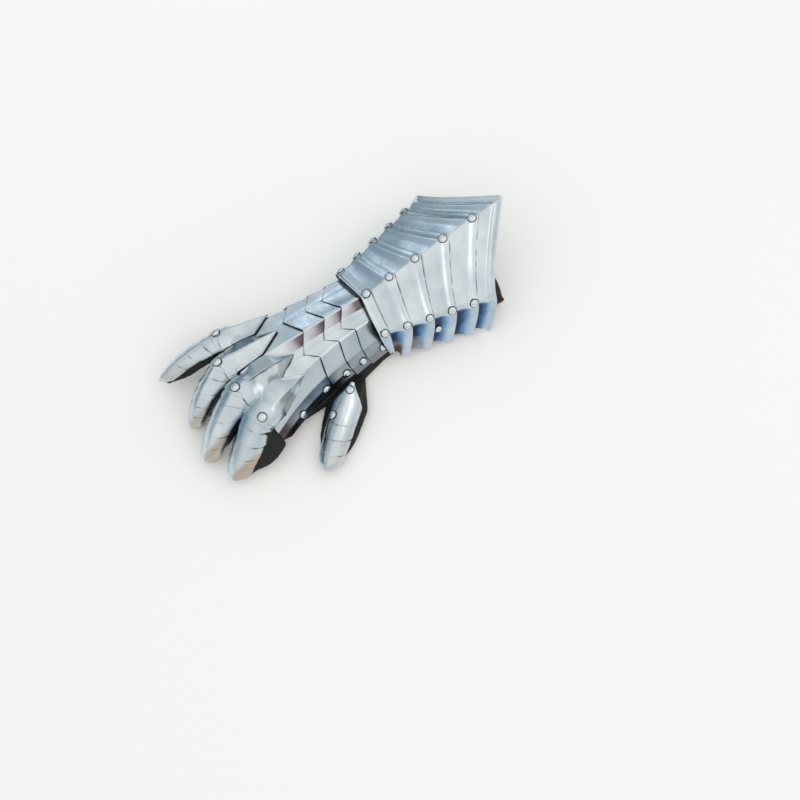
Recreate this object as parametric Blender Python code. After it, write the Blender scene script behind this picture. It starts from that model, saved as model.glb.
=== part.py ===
"""Right-hand plate gauntlet: riveted, ridged steel lames over a hollow leather glove.

Metres, +Z up. The glove lies on its palm, the fingers point towards -X, the elbow end towards +X and the
thumb towards -Y. While it is modelled, x = 0 is the row of rivets at the wrist and y = 0 the cuff's ridge.
Every plate is a grid of points on a surface, raised a little from its tucked end to its lapping end, and given
the thickness of the sheet. The glove is a set of hollow tubes through rings of points.
"""

import math
from collections import namedtuple

import bmesh
import bpy
from mathutils import Vector
from mathutils.bvhtree import BVHTree

MM = 0.001

# Steel plates
PLATE_THICKNESS = 1.2 * MM
PLATE_GAP = 0.55 * MM  # clear space between two plates that lap
RIVET_RADIUS = 4.1 * MM
RIVET_HEIGHT = 2.6 * MM
RIVET_SINK = 0.5 * MM  # how far a head runs into its plate
RIVET_SIDES = 8
RIVET_DOME = ((0.62, 0.78), (1.0, 0.12))  # rings of a head, as shares of its radius and height
RIVET_REACH = 12.0 * MM  # how far from its stated place a rivet looks for its plate
# Cosines past which the inner corner of a plate's fold and of the glove's section is no longer mitred.
SHARPEST_FOLD, SHARPEST_CORNER = 0.72, 0.6

# Degrees up to which a fold is shaded smooth
PLATE_SMOOTH_ANGLE, LEATHER_SMOOTH_ANGLE = 32.0, 60.0

# Cuff
CUFF_LENGTH = 109.0 * MM  # from the wrist rivets to the corners of the elbow rim
CUFF_LAMES = 6
WRIST_HALF_WIDTH = 37.2 * MM
RIM_HALF_WIDTH = 64.2 * MM
CREASE_HEIGHT = 46.0 * MM  # the folds between the top facets and the side walls
WRIST_RIDGE_RISE = 11.0 * MM  # ridge above the folds
RIM_RIDGE_RISE = 42.0 * MM
WRIST_RIDGE_LEAD = 5.0 * MM  # ridge ahead of the folds, towards the elbow
RIM_RIDGE_LEAD = 49.0 * MM
THUMB_FLARE = 11.8 * MM  # foot of the thumb-side wall outside its fold
PINKY_FLARE = 5.0 * MM
WALL_SWEEP = 11.0 * MM  # foot of a side wall nearer the fingers than its fold
WRIST_CUT = 8.0 * MM  # foot of the wall at the wrist nearer the elbow than its fold
WRIST_FOOT_HEIGHT = 9.5 * MM
RIM_FOOT_HEIGHT = 3.0 * MM
LAP_MARGIN = 4.5 * MM  # plate beyond its row of rivets
RIB_HEIGHT = 1.3 * MM
RIB_WIDTH = 6.0 * MM
RIB_SETBACK = 8.0 * MM  # from the elbow-side edge to the middle of the rib
RIM_RIB_SHARE = 0.7  # of RIB_SETBACK, on the lame at the elbow
FOOT_RIB_SHARE = 0.6  # of a rib's height, at the foot of a wall
LIP_FLARE = 1.6 * MM
WRIST_LIP_WIDTH = 3.5 * MM
WRIST_LIP_OVERHANG = 0.5 * MM
FOOT_ROUNDING = 0.12  # corner of a wall's foot drawn up, as a share of the way to its next column
RIDGE_CURVE = 1.25  # how sharply an edge sweeps back from the ridge
LEAD_GROWTH = 1.5  # how late the ridge's lead grows towards the elbow
SWEEP_CURVE = 1.5
FLARE_CURVE = 0.8
WRIST_CUT_END = 0.17  # share of CUFF_LENGTH where the walls stop being cut back
WRIST_LAME_END = 1.85  # the wrist lame's walls stop short of the cuff's foot
WRIST_LAME_CLEARANCE = 1.6 * PLATE_GAP  # it lies wholly on the next lame, past that lame's tucked edge
CUFF_ACROSS = (-2.0, -1.5, -1.07, -0.95, -0.64, -0.32, 0.0, 0.32, 0.64, 0.95, 1.07, 1.5, 2.0)

# Back of the hand
HAND_LENGTH = 140.0 * MM  # from the wrist rivets to the middle knuckle
KNUCKLE_HALF_WIDTH = 60.0 * MM
KNUCKLE_HEIGHT = 52.0 * MM
HAND_TUCK = 6.0 * MM  # first hand lame under the cuff
SCALE_DEPTH = 11.0 * MM  # points of the scales ahead of the folds between them
HAND_LAP = 10.0 * MM

# Fingers and thumb
FINGER_LENGTH = 79.0 * MM  # middle finger, knuckle rivet to tip, along its back
FINGER_HALF_WIDTH = 14.0 * MM
FINGER_DEPTH = 12.0 * MM  # side walls of a finger scale below its keel
FINGER_LAP = 6.0 * MM
WAIST_RATE = 0.2  # half width lost behind the knuckle, per length
GIRTHS = ((0.0, 0.96), (0.25, 1.0), (0.6, 0.93), (1.0, 0.78))  # shares of a finger's length and half width
THUMB_LENGTH = 85.0 * MM
THUMB_HALF_WIDTH = 14.5 * MM
THUMB_BASE_HEIGHT = 31.0 * MM

# Leather
LEATHER_THICKNESS = 1.5 * MM
GLOVE_GAP = 0.9 * MM  # clear space between leather and plate
GLOVE_REACH = 17.0 * MM  # glove beyond the corners of the elbow rim
GLOVE_EASE = 0.5 * MM  # more clear space where the lames are rounded
PALM_FOLD_HEIGHT = 7.6 * MM  # leather that bulges out under the plates
THUMB_FOLD_HEIGHT = 12.4 * MM  # the same fold where the thumb grows out of it
FOLD_RISE = 1.4 * MM
PALM_ROUNDING = 4.0 * MM  # flat of the palm ends this far inside its folds
# Places up a palm fold: share of its reach outwards and of its height.
FOLD_SHOULDER, FOLD_CREST = (0.85, 0.88), (1.0, 0.4)
STRAP_WIDTH = 22.0 * MM
STRAP_THICKNESS = 2.0 * MM
STRAP_GAP = 0.4 * MM
STRAP_ALONG = 0.455  # share of CUFF_LENGTH
STRAP_ACROSS = (1.45, 1.7, 1.93)  # down the inside of a wall, as cuff_point counts it
STRAP_TURN = 3.0 * MM  # inwards, from the walls' feet to the flat under the arm

# A fold of the hand lames. Places across are shares of the half widths at wrist and knuckles, heights are
# shares of CREASE_HEIGHT and KNUCKLE_HEIGHT, point is the share of SCALE_DEPTH that a front edge stands forward
# there, and lobe that of the last lame. The folds run from the foot on the pinky side to the thumb side's.
HandFold = namedtuple("HandFold", "wrist_across knuckle_across wrist_height knuckle_height point lobe")
HAND_FOLDS = (
    HandFold(1.02, 0.86, 0.22, 0.20, 0.0, -0.3),
    HandFold(0.97, 0.83, 0.66, 0.54, 0.3, 0.2),
    HandFold(0.86, 0.75, 0.935, 0.79, 0.0, 0.0),
    HandFold(0.53, 0.47, 1.02, 0.846, 1.0, 0.0),
    HandFold(0.08, 0.075, 1.15, 0.913, 0.0, 0.0),
    HandFold(-0.16, -0.13, 1.087, 0.865, 0.6, 0.0),
    HandFold(-0.34, -0.35, 1.065, 0.856, 1.0, 0.0),
    HandFold(-0.53, -0.65, 1.03, 0.79, 0.0, 0.5),
    HandFold(-0.90, -0.88, 0.74, 0.53, 0.3, 1.5),
    HandFold(-1.06, -0.98, 0.50, 0.38, 0.2, 1.3),
    HandFold(-1.21, -1.04, 0.30, 0.25, 0.0, 0.3),
)
HAND_SPREAD = 2.4  # how late the hand widens towards the knuckles
# Front edge of each hand lame, as a share of HAND_LENGTH from the wrist rivets.
HAND_EDGES = (0.148, 0.282, 0.444, 0.85)
HAND_LAPPED = 0.45  # share of a hand lame's length that lies under the one before
HAND_RIVETS = ((0.03,), (0.20,), (0.34,), (0.51, 0.73))  # along each lame's walls, as shares of HAND_LENGTH
PINKY_RIVET_SHARE, THUMB_RIVET_SHARE = 0.45, 0.85  # of the way from a wall's foot to its fold

# A finger: where its knuckle plate's point and its knuckle rivet lie, as shares of HAND_LENGTH,
# KNUCKLE_HALF_WIDTH and KNUCKLE_HEIGHT, its length and width as shares of the middle finger's length and of
# FINGER_HALF_WIDTH, and in degrees its heading towards the thumb side, its slope at knuckle and tip, and how
# far its back is turned towards the pinky side. lean is how much wider its knuckle plate is on the thumb side,
# and full how far its leather bulges out beneath the plates there, as a share of its half width.
Finger = namedtuple(
    "Finger",
    "name point_along point_across along across height length width"
    " heading first_slope last_slope roll lean full",
)
FINGERS = (
    Finger("index", 0.595, -0.525, 0.971, -0.765, 0.925, 0.87, 1.04, 26.0, 8.0, 55.0, -8.0, -0.20, 1.5),
    Finger("middle", 0.580, -0.160, 1.014, -0.170, 1.00, 1.00, 0.94, 28.0, 8.0, 54.0, 0.0, -0.10, 0.3),
    Finger("ring", 0.585, 0.315, 1.028, 0.340, 0.98, 0.91, 0.87, 27.0, 8.0, 58.0, 3.0, 0.36, 0.3),
    Finger("pinky", 0.580, 0.665, 0.943, 0.81, 0.90, 0.96, 0.76, -3.0, 5.0, 44.0, 14.0, 0.45, 0.3),
)
THUMB_ALONG, THUMB_ACROSS = 0.345, -1.53  # shares of HAND_LENGTH and WRIST_HALF_WIDTH
THUMB_HEADING, THUMB_FIRST_SLOPE, THUMB_LAST_SLOPE = 40.0, 4.0, 19.0
THUMB_FULL = 0.9  # as a finger's

# Where the front edges of the scales lie, as shares of a finger's length.
SCALE_EDGES = (0.0, 0.20, 0.42, 0.62, 0.79, 1.0)
THUMB_EDGES = (0.0, 0.50, 0.67, 0.84, 1.0)
EDGE_SLIP = 4.5 * MM  # ends of a scale's front edge behind its middle
# Rows of a scale, of the last one, which is drawn in to a claw, and of the leaf that starts the thumb: share of
# the scale's length, and its width and depth there as shares of the finger's.
ScaleRow = namedtuple("ScaleRow", "share width depth")
PLAIN_ROWS = (ScaleRow(0.0, 1.0, 1.0), ScaleRow(0.5, 1.0, 1.0), ScaleRow(1.0, 1.0, 1.0))
CLAW_ROWS = (*PLAIN_ROWS[:2], ScaleRow(0.85, 0.72, 0.72), ScaleRow(1.0, 0.30, 0.30))
LEAF_ROWS = (ScaleRow(0.0, 0.14, 0.10), ScaleRow(0.5, 0.89, 0.70), ScaleRow(1.0, 1.0, 1.0))
# Rivets of that leaf: along the thumb, and to the side as a share of its half width.
LEAF_RIVETS = ((8.0 * MM, 0.0), (34.0 * MM, -0.62))

# Half of a plate's cross-section from its keel outwards: share of its half width, and the share of its depth
# that it has fallen there, on a keeled roof and on a finger's round back.
Rib = namedtuple("Rib", "out roof arch")
HALF_PLATE = (Rib(0.0, 0.0, 0.0), Rib(0.48, 0.42, 0.15), Rib(0.86, 0.82, 0.48), Rib(1.0, 1.0, 1.0))
LEAN_FLATTENS = 0.5  # how much flatter a leaning plate's wider facet is, per lean
LAME_ROWS = (0.0, 0.55, 1.0)  # rows of a hand lame's grid, as shares of its length
LAST_LAME_ROWS = (0.0, 0.3, 0.55, 0.8, 1.0)

# A row of a knuckle plate on the hand: share of the way from its point to the knuckle, width and depth as
# shares of the finger's half width and FINGER_DEPTH, and 0 for a keeled roof up to 1 for a round back.
KnuckleRow = namedtuple("KnuckleRow", "share width depth arch")
KNUCKLE_ROWS = (
    KnuckleRow(0.0, 0.05, 0.02, 0.0),
    KnuckleRow(0.25, 0.50, 0.22, 0.0),
    KnuckleRow(0.50, 0.94, 0.48, 0.1),
    KnuckleRow(0.78, 0.98, 0.75, 0.5),
)
KNUCKLE_STEP = 1.3  # a knuckle plate's height over the lame, in steps of plate and gap
DRAPE_REACH = 4.5 * MM
KNUCKLE_OVERLAP = 5.5 * MM
KNUCKLE_SLIP = 2.0 * MM
KNUCKLE_BLEND = 3  # how late a knuckle plate takes on its finger's own cross-section
RIVET_SETBACK = 1.5 * MM
LAST_LAPPED = 0.2  # as HAND_LAPPED, for the last lame

# A section of the glove's body: where it lies between the wrist rivets and the knuckles (up to 1) or the elbow
# end (down to -1), its width and height as shares of the space inside the plates, how far its palm fold reaches
# out on the thumb side and the pinky side as shares of the body's own half width, the fold's height as a share
# of PALM_FOLD_HEIGHT, and how far its palm lies up as a share of STRAP_THICKNESS.
GloveSection = namedtuple("GloveSection", "along width height fold_thumb fold_pinky fold under")
GLOVE_SECTIONS = (
    GloveSection(-1.00, 0.80, 0.62, 1.00, 1.00, 1.0, 1.5),
    GloveSection(-0.70, 0.84, 0.72, 1.00, 1.00, 1.0, 1.5),
    GloveSection(-0.25, 0.88, 0.86, 1.00, 1.00, 1.0, 1.5),
    GloveSection(-0.04, 0.96, 0.93, 1.15, 1.05, 0.9, 0.0),
    GloveSection(0.14, 0.99, 0.98, 1.23, 1.10, 1.1, 0.0),
    GloveSection(0.34, 1.00, 1.00, 1.34, 1.07, THUMB_FOLD_HEIGHT / PALM_FOLD_HEIGHT, 0.0),
    GloveSection(0.52, 1.00, 1.00, 1.24, 1.04, THUMB_FOLD_HEIGHT / PALM_FOLD_HEIGHT, 0.0),
    GloveSection(0.72, 1.00, 1.00, 1.05, 1.00, 1.1, 0.0),
    GloveSection(0.86, 0.99, 0.99, 1.00, 1.00, 1.0, 0.0),
    GloveSection(1.00, 0.97, 0.80, 0.98, 0.98, 1.0, 0.0),
)
# The knuckles lie on a curve: its furthest place along the hand, how much it bends, and where it is furthest.
KNUCKLE_ARC = (1.012, 0.085, 0.08)
GLOVE_ACROSS = (2.0, 1.5, 1.0, 0.6, 0.1, -0.15, -0.4, -0.7, -1.0, -1.5, -2.0)  # as cuff_point counts them
STALL_SIDES = 10
STALL_GAP = 0.6 * MM
STALL_MOUTH = 0.83  # girth of a finger's mouth over its girth further out
STALL_PINKY_SHARE = 0.4  # of a finger's fullness, on its pinky side
# Where a finger's fullness starts, is reached, starts to go and has gone, as shares of its length.
STALL_SWELL = (0.13, 0.35, 0.60, 1.10)
THUMB_MOUTH_ALONG, THUMB_MOUTH_ACROSS = 0.36, 1.36  # shares of HAND_LENGTH and WRIST_HALF_WIDTH
THUMB_MOUTH_WIDTH = 42.0 * MM
THUMB_CUTTER = (1.3 * THUMB_MOUTH_WIDTH, 30.0 * MM)  # wider than the mouth, and well past the fold that it cuts
STALL_RINGS = (0.14, 0.34, 0.56, 0.76, 0.90)  # shares of a finger's length
THUMB_RINGS = (0.22, 0.42, 0.62, 0.80, 0.92)
STALL_TIP = 5.0 * MM  # rounded end past the last ring
STALL_DEPTH = 0.86  # half height of a finger's leather over the depth of its plates
STALL_SAG = 1.25  # its lower half over its upper half
STALL_DRAWN_FROM, STALL_DRAWN = 0.7, 0.62  # from this share of its length it narrows to this girth


def clear_scene():
    for obj in list(bpy.data.objects):
        bpy.data.objects.remove(obj, do_unlink=True)


def make_material(name, colour, metallic, roughness):
    material = bpy.data.materials.new(name)
    material.use_nodes = True
    shader = material.node_tree.nodes["Principled BSDF"]
    shader.inputs["Base Color"].default_value = (*colour, 1.0)
    shader.inputs["Metallic"].default_value = metallic
    shader.inputs["Roughness"].default_value = roughness
    return material


def mix(first, last, share):
    return first + (last - first) * share


def object_from(name, mesh_data, material, smooth_angle=PLATE_SMOOTH_ANGLE):
    """An object for a bmesh, its faces turned outwards and smooth up to the given angle."""
    bmesh.ops.recalc_face_normals(mesh_data, faces=mesh_data.faces)
    mesh = bpy.data.meshes.new(name)
    mesh_data.to_mesh(mesh)
    mesh_data.free()
    mesh.materials.append(material)
    mesh.shade_smooth()
    mesh.set_sharp_from_angle(angle=math.radians(smooth_angle))
    obj = bpy.data.objects.new(name, mesh)
    bpy.context.scene.collection.objects.link(obj)
    return obj


def offsets_of(grid, outward):
    """The way out of a grid's surface at each point, longer at a fold so that walls keep their thickness."""
    rows, columns = len(grid), len(grid[0])

    def face(row, column):
        corners = grid[row][column], grid[row + 1][column + 1], grid[row + 1][column], grid[row][column + 1]
        return (corners[1] - corners[0]).cross(corners[3] - corners[2]).normalized()

    faces = [[face(row, column) for column in range(columns - 1)] for row in range(rows - 1)]
    middle = faces[(rows - 1) // 2][(columns - 1) // 2]
    turn = 1.0 if middle.dot(outward) > 0 else -1.0
    result = []
    for row in range(rows):
        line = []
        for column in range(columns):
            near = [
                faces[r][c]
                for r in (row - 1, row)
                for c in (column - 1, column)
                if 0 <= r < rows - 1 and 0 <= c < columns - 1
            ]
            mean = sum(near, Vector()).normalized()
            tightest = max(SHARPEST_FOLD, min(mean.dot(normal) for normal in near))
            line.append(mean * (turn / tightest))
        result.append(line)
    return result


def shell(name, grid, lifts, thickness, material, outward=Vector((0, 0, 1))):
    """A plate: the grid raised by its lifts is the outer face, and the inner face lies a thickness below."""
    rows, columns = len(grid), len(grid[0])
    offsets = offsets_of(grid, outward)
    mesh_data = bmesh.new()

    def layer(depth):
        return [
            [mesh_data.verts.new(grid[r][c] + offsets[r][c] * (lifts[r][c] - depth)) for c in range(columns)]
            for r in range(rows)
        ]

    outer, inner = layer(0.0), layer(thickness)
    for r in range(rows - 1):
        for c in range(columns - 1):
            mesh_data.faces.new((outer[r][c], outer[r][c + 1], outer[r + 1][c + 1], outer[r + 1][c]))
            mesh_data.faces.new((inner[r][c], inner[r + 1][c], inner[r + 1][c + 1], inner[r][c + 1]))
    edge = [(0, c) for c in range(columns)]
    edge += [(r, columns - 1) for r in range(1, rows)]
    edge += [(rows - 1, c) for c in range(columns - 2, -1, -1)]
    edge += [(r, 0) for r in range(rows - 2, 0, -1)]
    for (r, c), (s, d) in zip(edge, edge[1:] + edge[:1]):
        mesh_data.faces.new((outer[r][c], inner[r][c], inner[s][d], outer[s][d]))
    return object_from(name, mesh_data, material)


def tube(name, rings, inner_rings, material, tips=None):
    """A hollow wall through rings of points. tips are its outer and inner end points, or None if it is open."""
    mesh_data = bmesh.new()
    count = len(rings[0])
    layers = []
    for side in (rings, inner_rings):
        layers.append([[mesh_data.verts.new(point) for point in ring] for ring in side])
    for side in layers:
        for first, second in zip(side, side[1:]):
            for k in range(count):
                n = (k + 1) % count
                mesh_data.faces.new((first[k], first[n], second[n], second[k]))
    open_ends = (0,) if tips else (0, -1)
    for end in open_ends:
        outer, inner = layers[0][end], layers[1][end]
        for k in range(count):
            n = (k + 1) % count
            mesh_data.faces.new((outer[k], outer[n], inner[n], inner[k]))
    for side, tip in zip(layers, tips or ()):
        point = mesh_data.verts.new(tip)
        for k in range(count):
            mesh_data.faces.new((side[-1][k], side[-1][(k + 1) % count], point))
    return object_from(name, mesh_data, material, LEATHER_SMOOTH_ANGLE)


def rivet_head(mesh_data, tree, place, outward, along):
    """A dome on the plate behind the place, its skirt run down to the plate's surface all round."""

    def surface(point, way):
        hit, normal, _, _ = tree.ray_cast(point + way * RIVET_REACH, -way)
        return (hit, normal) if hit and (hit - point).length < RIVET_REACH else (None, None)

    def around(axis):
        first = (along - axis * along.dot(axis)).normalized()
        second = axis.cross(first)
        turns = [2 * math.pi * k / RIVET_SIDES for k in range(RIVET_SIDES)]
        return [first * math.cos(turn) + second * math.sin(turn) for turn in turns]

    seat, axis = surface(place, outward)
    if seat is None:
        seat, axis = place, outward
    normals = [surface(seat + way * RIVET_RADIUS, outward)[1] for way in around(outward)]
    axis = sum([normal for normal in normals if normal], axis.copy()).normalized()
    ways = around(axis)
    rings = []
    for radius, height in RIVET_DOME:
        rings.append([seat + way * (radius * RIVET_RADIUS) + axis * (height * RIVET_HEIGHT) for way in ways])
    base = []
    for way in ways:
        level = seat + way * RIVET_RADIUS
        below = surface(level, axis)[0]
        fallen = min(0.0, (below - level).dot(axis)) if below else 0.0
        base.append(level + axis * (fallen - RIVET_SINK))
    rings.append(base)
    loops = [[mesh_data.verts.new(point) for point in ring] for ring in rings]
    top = mesh_data.verts.new(seat + axis * RIVET_HEIGHT)
    foot = mesh_data.verts.new(seat - axis * RIVET_SINK)
    for k in range(RIVET_SIDES):
        n = (k + 1) % RIVET_SIDES
        mesh_data.faces.new((top, loops[0][k], loops[0][n]))
        mesh_data.faces.new((foot, loops[2][n], loops[2][k]))
        for upper, lower in zip(loops, loops[1:]):
            mesh_data.faces.new((upper[k], lower[k], lower[n], upper[n]))


def fasten(plate, places, outward, material, along=Vector((1, 0, 0))):
    """Joins dome rivet heads to a plate. outward is one way for all places, or a list with one for each."""
    if not places:
        return
    ways = outward if isinstance(outward, list) else [outward] * len(places)
    plate_mesh = bmesh.new()
    plate_mesh.from_mesh(plate.data)
    tree = BVHTree.FromBMesh(plate_mesh)
    heads = bmesh.new()
    for place, way in zip(places, ways):
        rivet_head(heads, tree, place, way.normalized(), along)
    plate_mesh.free()
    helper = object_from(plate.name + "_rivet_heads", heads, material)
    helper.hide_render = True
    helper.display_type = "WIRE"
    union = plate.modifiers.new("rivet heads", "BOOLEAN")
    union.operation = "UNION"
    union.solver = "EXACT"
    union.object = helper


def shingle_lift(share, lapped_share):
    """How far a plate stands off the surface, from 0 where it is tucked under to a full step where it laps."""
    return share * (PLATE_THICKNESS + PLATE_GAP) / (1 - lapped_share)


# Cuff


def cuff_point(along, across):
    """A point of the cuff's surface. across is 0 on the ridge, 1 or -1 on a fold, 2 or -2 on a wall's foot."""
    share = along / CUFF_LENGTH
    side = 1.0 if across >= 0 else -1.0
    half_width = mix(WRIST_HALF_WIDTH, RIM_HALF_WIDTH, share)
    rise = mix(WRIST_RIDGE_RISE, RIM_RIDGE_RISE, share)
    lead = mix(WRIST_RIDGE_LEAD, RIM_RIDGE_LEAD, max(share, 0.0) ** LEAD_GROWTH)
    out = abs(across)
    if out <= 1:
        ahead = lead * (1 - out) ** RIDGE_CURVE
        return Vector((along + ahead, side * half_width * out, CREASE_HEIGHT + rise * (1 - out)))
    down = out - 1
    foot = mix(WRIST_FOOT_HEIGHT, RIM_FOOT_HEIGHT, share)
    flare = PINKY_FLARE if side > 0 else THUMB_FLARE
    # The foot of the wall sweeps towards the fingers, but the cuff's wrist end is cut back towards the elbow.
    before = LAP_MARGIN / CUFF_LENGTH
    sweep = mix(-WRIST_CUT, WALL_SWEEP, min(1.0, max(0.0, share + before) / (WRIST_CUT_END + before)))
    return Vector(
        (
            along - sweep * down**SWEEP_CURVE,
            side * (half_width + flare * down**FLARE_CURVE),
            mix(CREASE_HEIGHT, foot, down),
        )
    )


def cuff_row(number):
    """Where a row of cuff rivets lies: row 1 is at the wrist and the last is nearest the elbow."""
    return (number - 1) * CUFF_LENGTH / (CUFF_LAMES - 1)


def build_cuff_lame(number, steel):
    last = number == CUFF_LAMES
    front = cuff_row(max(1, number - 1)) - LAP_MARGIN
    rear = CUFF_LENGTH if last else cuff_row(number) + LAP_MARGIN
    pitch = cuff_row(2) - cuff_row(1)
    lapped = 2 * LAP_MARGIN / (pitch + 2 * LAP_MARGIN)
    if number == 1:
        # The wrist lame is a narrow band that lies wholly on the next one, its front edge turned up as a lip.
        lip = front - WRIST_LIP_OVERHANG
        stations = [(lip, LIP_FLARE), (lip + WRIST_LIP_WIDTH, 0.0), (rear, 0.0)]
        step = PLATE_THICKNESS + WRIST_LAME_CLEARANCE
        lifts = [step + shingle_lift(lapped * (place - lip) / (rear - lip), lapped) for place, _ in stations]
    else:
        rib = rear - RIB_SETBACK * (RIM_RIB_SHARE if last else 1.0)
        places = [front, front + 2 * LAP_MARGIN, rib - RIB_WIDTH / 2, rib, rib + RIB_WIDTH / 2, rear]
        stations = list(zip(places, (0.0, 0.0, 0.0, RIB_HEIGHT, 0.0, LIP_FLARE if last else 0.0)))
        length = pitch + 2 * LAP_MARGIN
        lifts = [shingle_lift((place - front) / length, lapped) for place in places]
    grid = []
    raised = []
    for (place, rise), lift in zip(stations, lifts):
        lowest = WRIST_LAME_END if number == 1 else 2.0
        grid.append([cuff_point(place, max(-lowest, min(lowest, across))) for across in CUFF_ACROSS])
        raised.append([lift + rise * (FOOT_RIB_SHARE if abs(across) == 2.0 else 1.0) for across in CUFF_ACROSS])
    # The corners of each wall's foot are rounded off.
    for row in (grid[0], grid[-1]) if number > 1 else ():
        for column in (0, -1):
            row[column] = row[column].lerp(row[1 if column == 0 else -2], FOOT_ROUNDING)
    lame = shell(f"cuff_lame_{number}", grid, raised, PLATE_THICKNESS, steel)
    if not last:
        row = cuff_row(number)
        places = [cuff_point(row, across) for across in (0.0, 1.0, -1.0)]
        ways = [Vector((0, 0, 1)), Vector((0, 0.75, 1)), Vector((0, -0.75, 1))]
        if front < STRAP_ALONG * CUFF_LENGTH < rear - 2 * LAP_MARGIN:
            places += [cuff_section(STRAP_ALONG * CUFF_LENGTH, across) for across in (1.5, -1.5)]
            ways += [Vector((0, 1, 0.2)), Vector((0, -1, 0.2))]
        fasten(lame, places, ways, steel)


# Back of the hand


def hand_share(along):
    return (HAND_TUCK - along) / (HAND_TUCK + HAND_EDGES[-1] * HAND_LENGTH)


def hand_point(along, fold):
    """A point of a fold line over the back of the hand."""
    spread = max(0.0, hand_share(along)) ** HAND_SPREAD
    across = mix(fold.wrist_across * WRIST_HALF_WIDTH, fold.knuckle_across * KNUCKLE_HALF_WIDTH, spread)
    height = mix(fold.wrist_height * CREASE_HEIGHT, fold.knuckle_height * KNUCKLE_HEIGHT, spread)
    return Vector((along, across, height))


def build_hand_lame(number, steel):
    last = number == len(HAND_EDGES)
    front = -HAND_EDGES[number - 1] * HAND_LENGTH
    rear = HAND_TUCK if number == 1 else -HAND_EDGES[number - 2] * HAND_LENGTH + HAND_LAP
    lapped = LAST_LAPPED if last else HAND_LAPPED
    grid, raised = [], []
    for share in LAST_LAME_ROWS if last else LAME_ROWS:
        line, lift_line = [], []
        for fold in HAND_FOLDS:
            ahead = SCALE_DEPTH * (fold.lobe if last else fold.point)
            along = mix(rear, front - ahead, share)
            line.append(hand_point(along, fold))
            lift_line.append(shingle_lift(share, lapped))
        grid.append(line)
        raised.append(lift_line)
    lame = shell(f"hand_lame_{number}", grid, raised, PLATE_THICKNESS, steel)
    # Rivets along both side walls.
    walls = (
        (HAND_FOLDS[-1], HAND_FOLDS[-2], THUMB_RIVET_SHARE, -1),
        (HAND_FOLDS[0], HAND_FOLDS[1], PINKY_RIVET_SHARE, 1),
    )
    places, ways = [], []
    for row in HAND_RIVETS[number - 1]:
        for low, high, share, side in walls:
            along = -row * HAND_LENGTH
            places.append(hand_point(along, low).lerp(hand_point(along, high), share))
            ways.append(Vector((0, side, 0.45)))
    fasten(lame, places, ways, steel)


# Fingers and thumb

Spine = namedtuple("Spine", "start heading length first_slope last_slope half_width roll back_heading full")
Frame = namedtuple("Frame", "place ahead side up")


def spine_frame(spine, distance):
    """A finger's keel line at a distance from its knuckle: its place, and the ways ahead, sideways and up."""
    first, last = math.radians(spine.first_slope), math.radians(spine.last_slope)
    rate = (last - first) / spine.length
    slope = first + rate * distance
    level = (math.sin(slope) - math.sin(first)) / rate
    fall = (math.cos(first) - math.cos(slope)) / rate
    angle = math.radians(spine.heading if distance >= 0 else spine.back_heading)
    forward = Vector((-math.cos(angle), -math.sin(angle), 0))
    vertical = Vector((0, 0, 1))
    side = vertical.cross(forward)
    up = forward * math.sin(slope) + vertical * math.cos(slope)
    roll = math.radians(spine.roll)
    return Frame(
        spine.start + forward * level - vertical * fall,
        forward * math.cos(slope) - vertical * math.sin(slope),
        side * math.cos(roll) + up * math.sin(roll),
        up * math.cos(roll) - side * math.sin(roll),
    )


def finger_spine(finger):
    start = Vector(
        (-finger.along * HAND_LENGTH, finger.across * KNUCKLE_HALF_WIDTH, finger.height * KNUCKLE_HEIGHT)
    )
    aside = (finger.point_across - finger.across) * KNUCKLE_HALF_WIDTH
    ahead = (finger.along - finger.point_along) * HAND_LENGTH
    return Spine(
        start,
        finger.heading,
        finger.length * FINGER_LENGTH,
        finger.first_slope,
        finger.last_slope,
        finger.width * FINGER_HALF_WIDTH,
        finger.roll,
        math.degrees(math.atan2(aside, ahead)),
        finger.full,
    )


def thumb_spine():
    start = Vector((-THUMB_ALONG * HAND_LENGTH, THUMB_ACROSS * WRIST_HALF_WIDTH, THUMB_BASE_HEIGHT))
    slopes = THUMB_FIRST_SLOPE, THUMB_LAST_SLOPE
    return Spine(start, THUMB_HEADING, THUMB_LENGTH, *slopes, THUMB_HALF_WIDTH, 0.0, THUMB_HEADING, THUMB_FULL)


def width_at(spine, distance):
    """Half width of a finger. Behind the knuckle it narrows, to leave its neighbours room."""
    if distance < 0:
        return spine.half_width * GIRTHS[0][1] * (1 + WAIST_RATE * distance / FINGER_HALF_WIDTH)
    share = min(1.0, distance / spine.length)
    for (first, near), (last, far) in zip(GIRTHS, GIRTHS[1:]):
        if share <= last:
            return spine.half_width * mix(near, far, (share - first) / (last - first))


def depth_at(spine, distance):
    return FINGER_DEPTH * width_at(spine, distance) / FINGER_HALF_WIDTH


def plate_columns():
    """The columns of a plate from one edge over the keel to the other: side, and the row of HALF_PLATE."""
    left = [(-1.0, rib) for rib in reversed(HALF_PLATE)]
    return left + [(1.0, rib) for rib in HALF_PLATE[1:]]


def cross_line(frame, half_width, depth, arch, slip=0.0, lean=0.0):
    """Points across a plate. arch is 0 for a keeled roof and 1 for a round back; slip draws its sides back."""
    line = []
    for side, rib in plate_columns():
        # The wider facet of a leaning plate is also the flatter one.
        down = mix(rib.roof * (1 - LEAN_FLATTENS * lean * side), rib.arch, arch) * depth
        back = slip * rib.out**2
        aside = side * rib.out * half_width * (1 + lean * side)
        line.append(frame.place + frame.side * aside - frame.up * down - frame.ahead * back)
    return line


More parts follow.
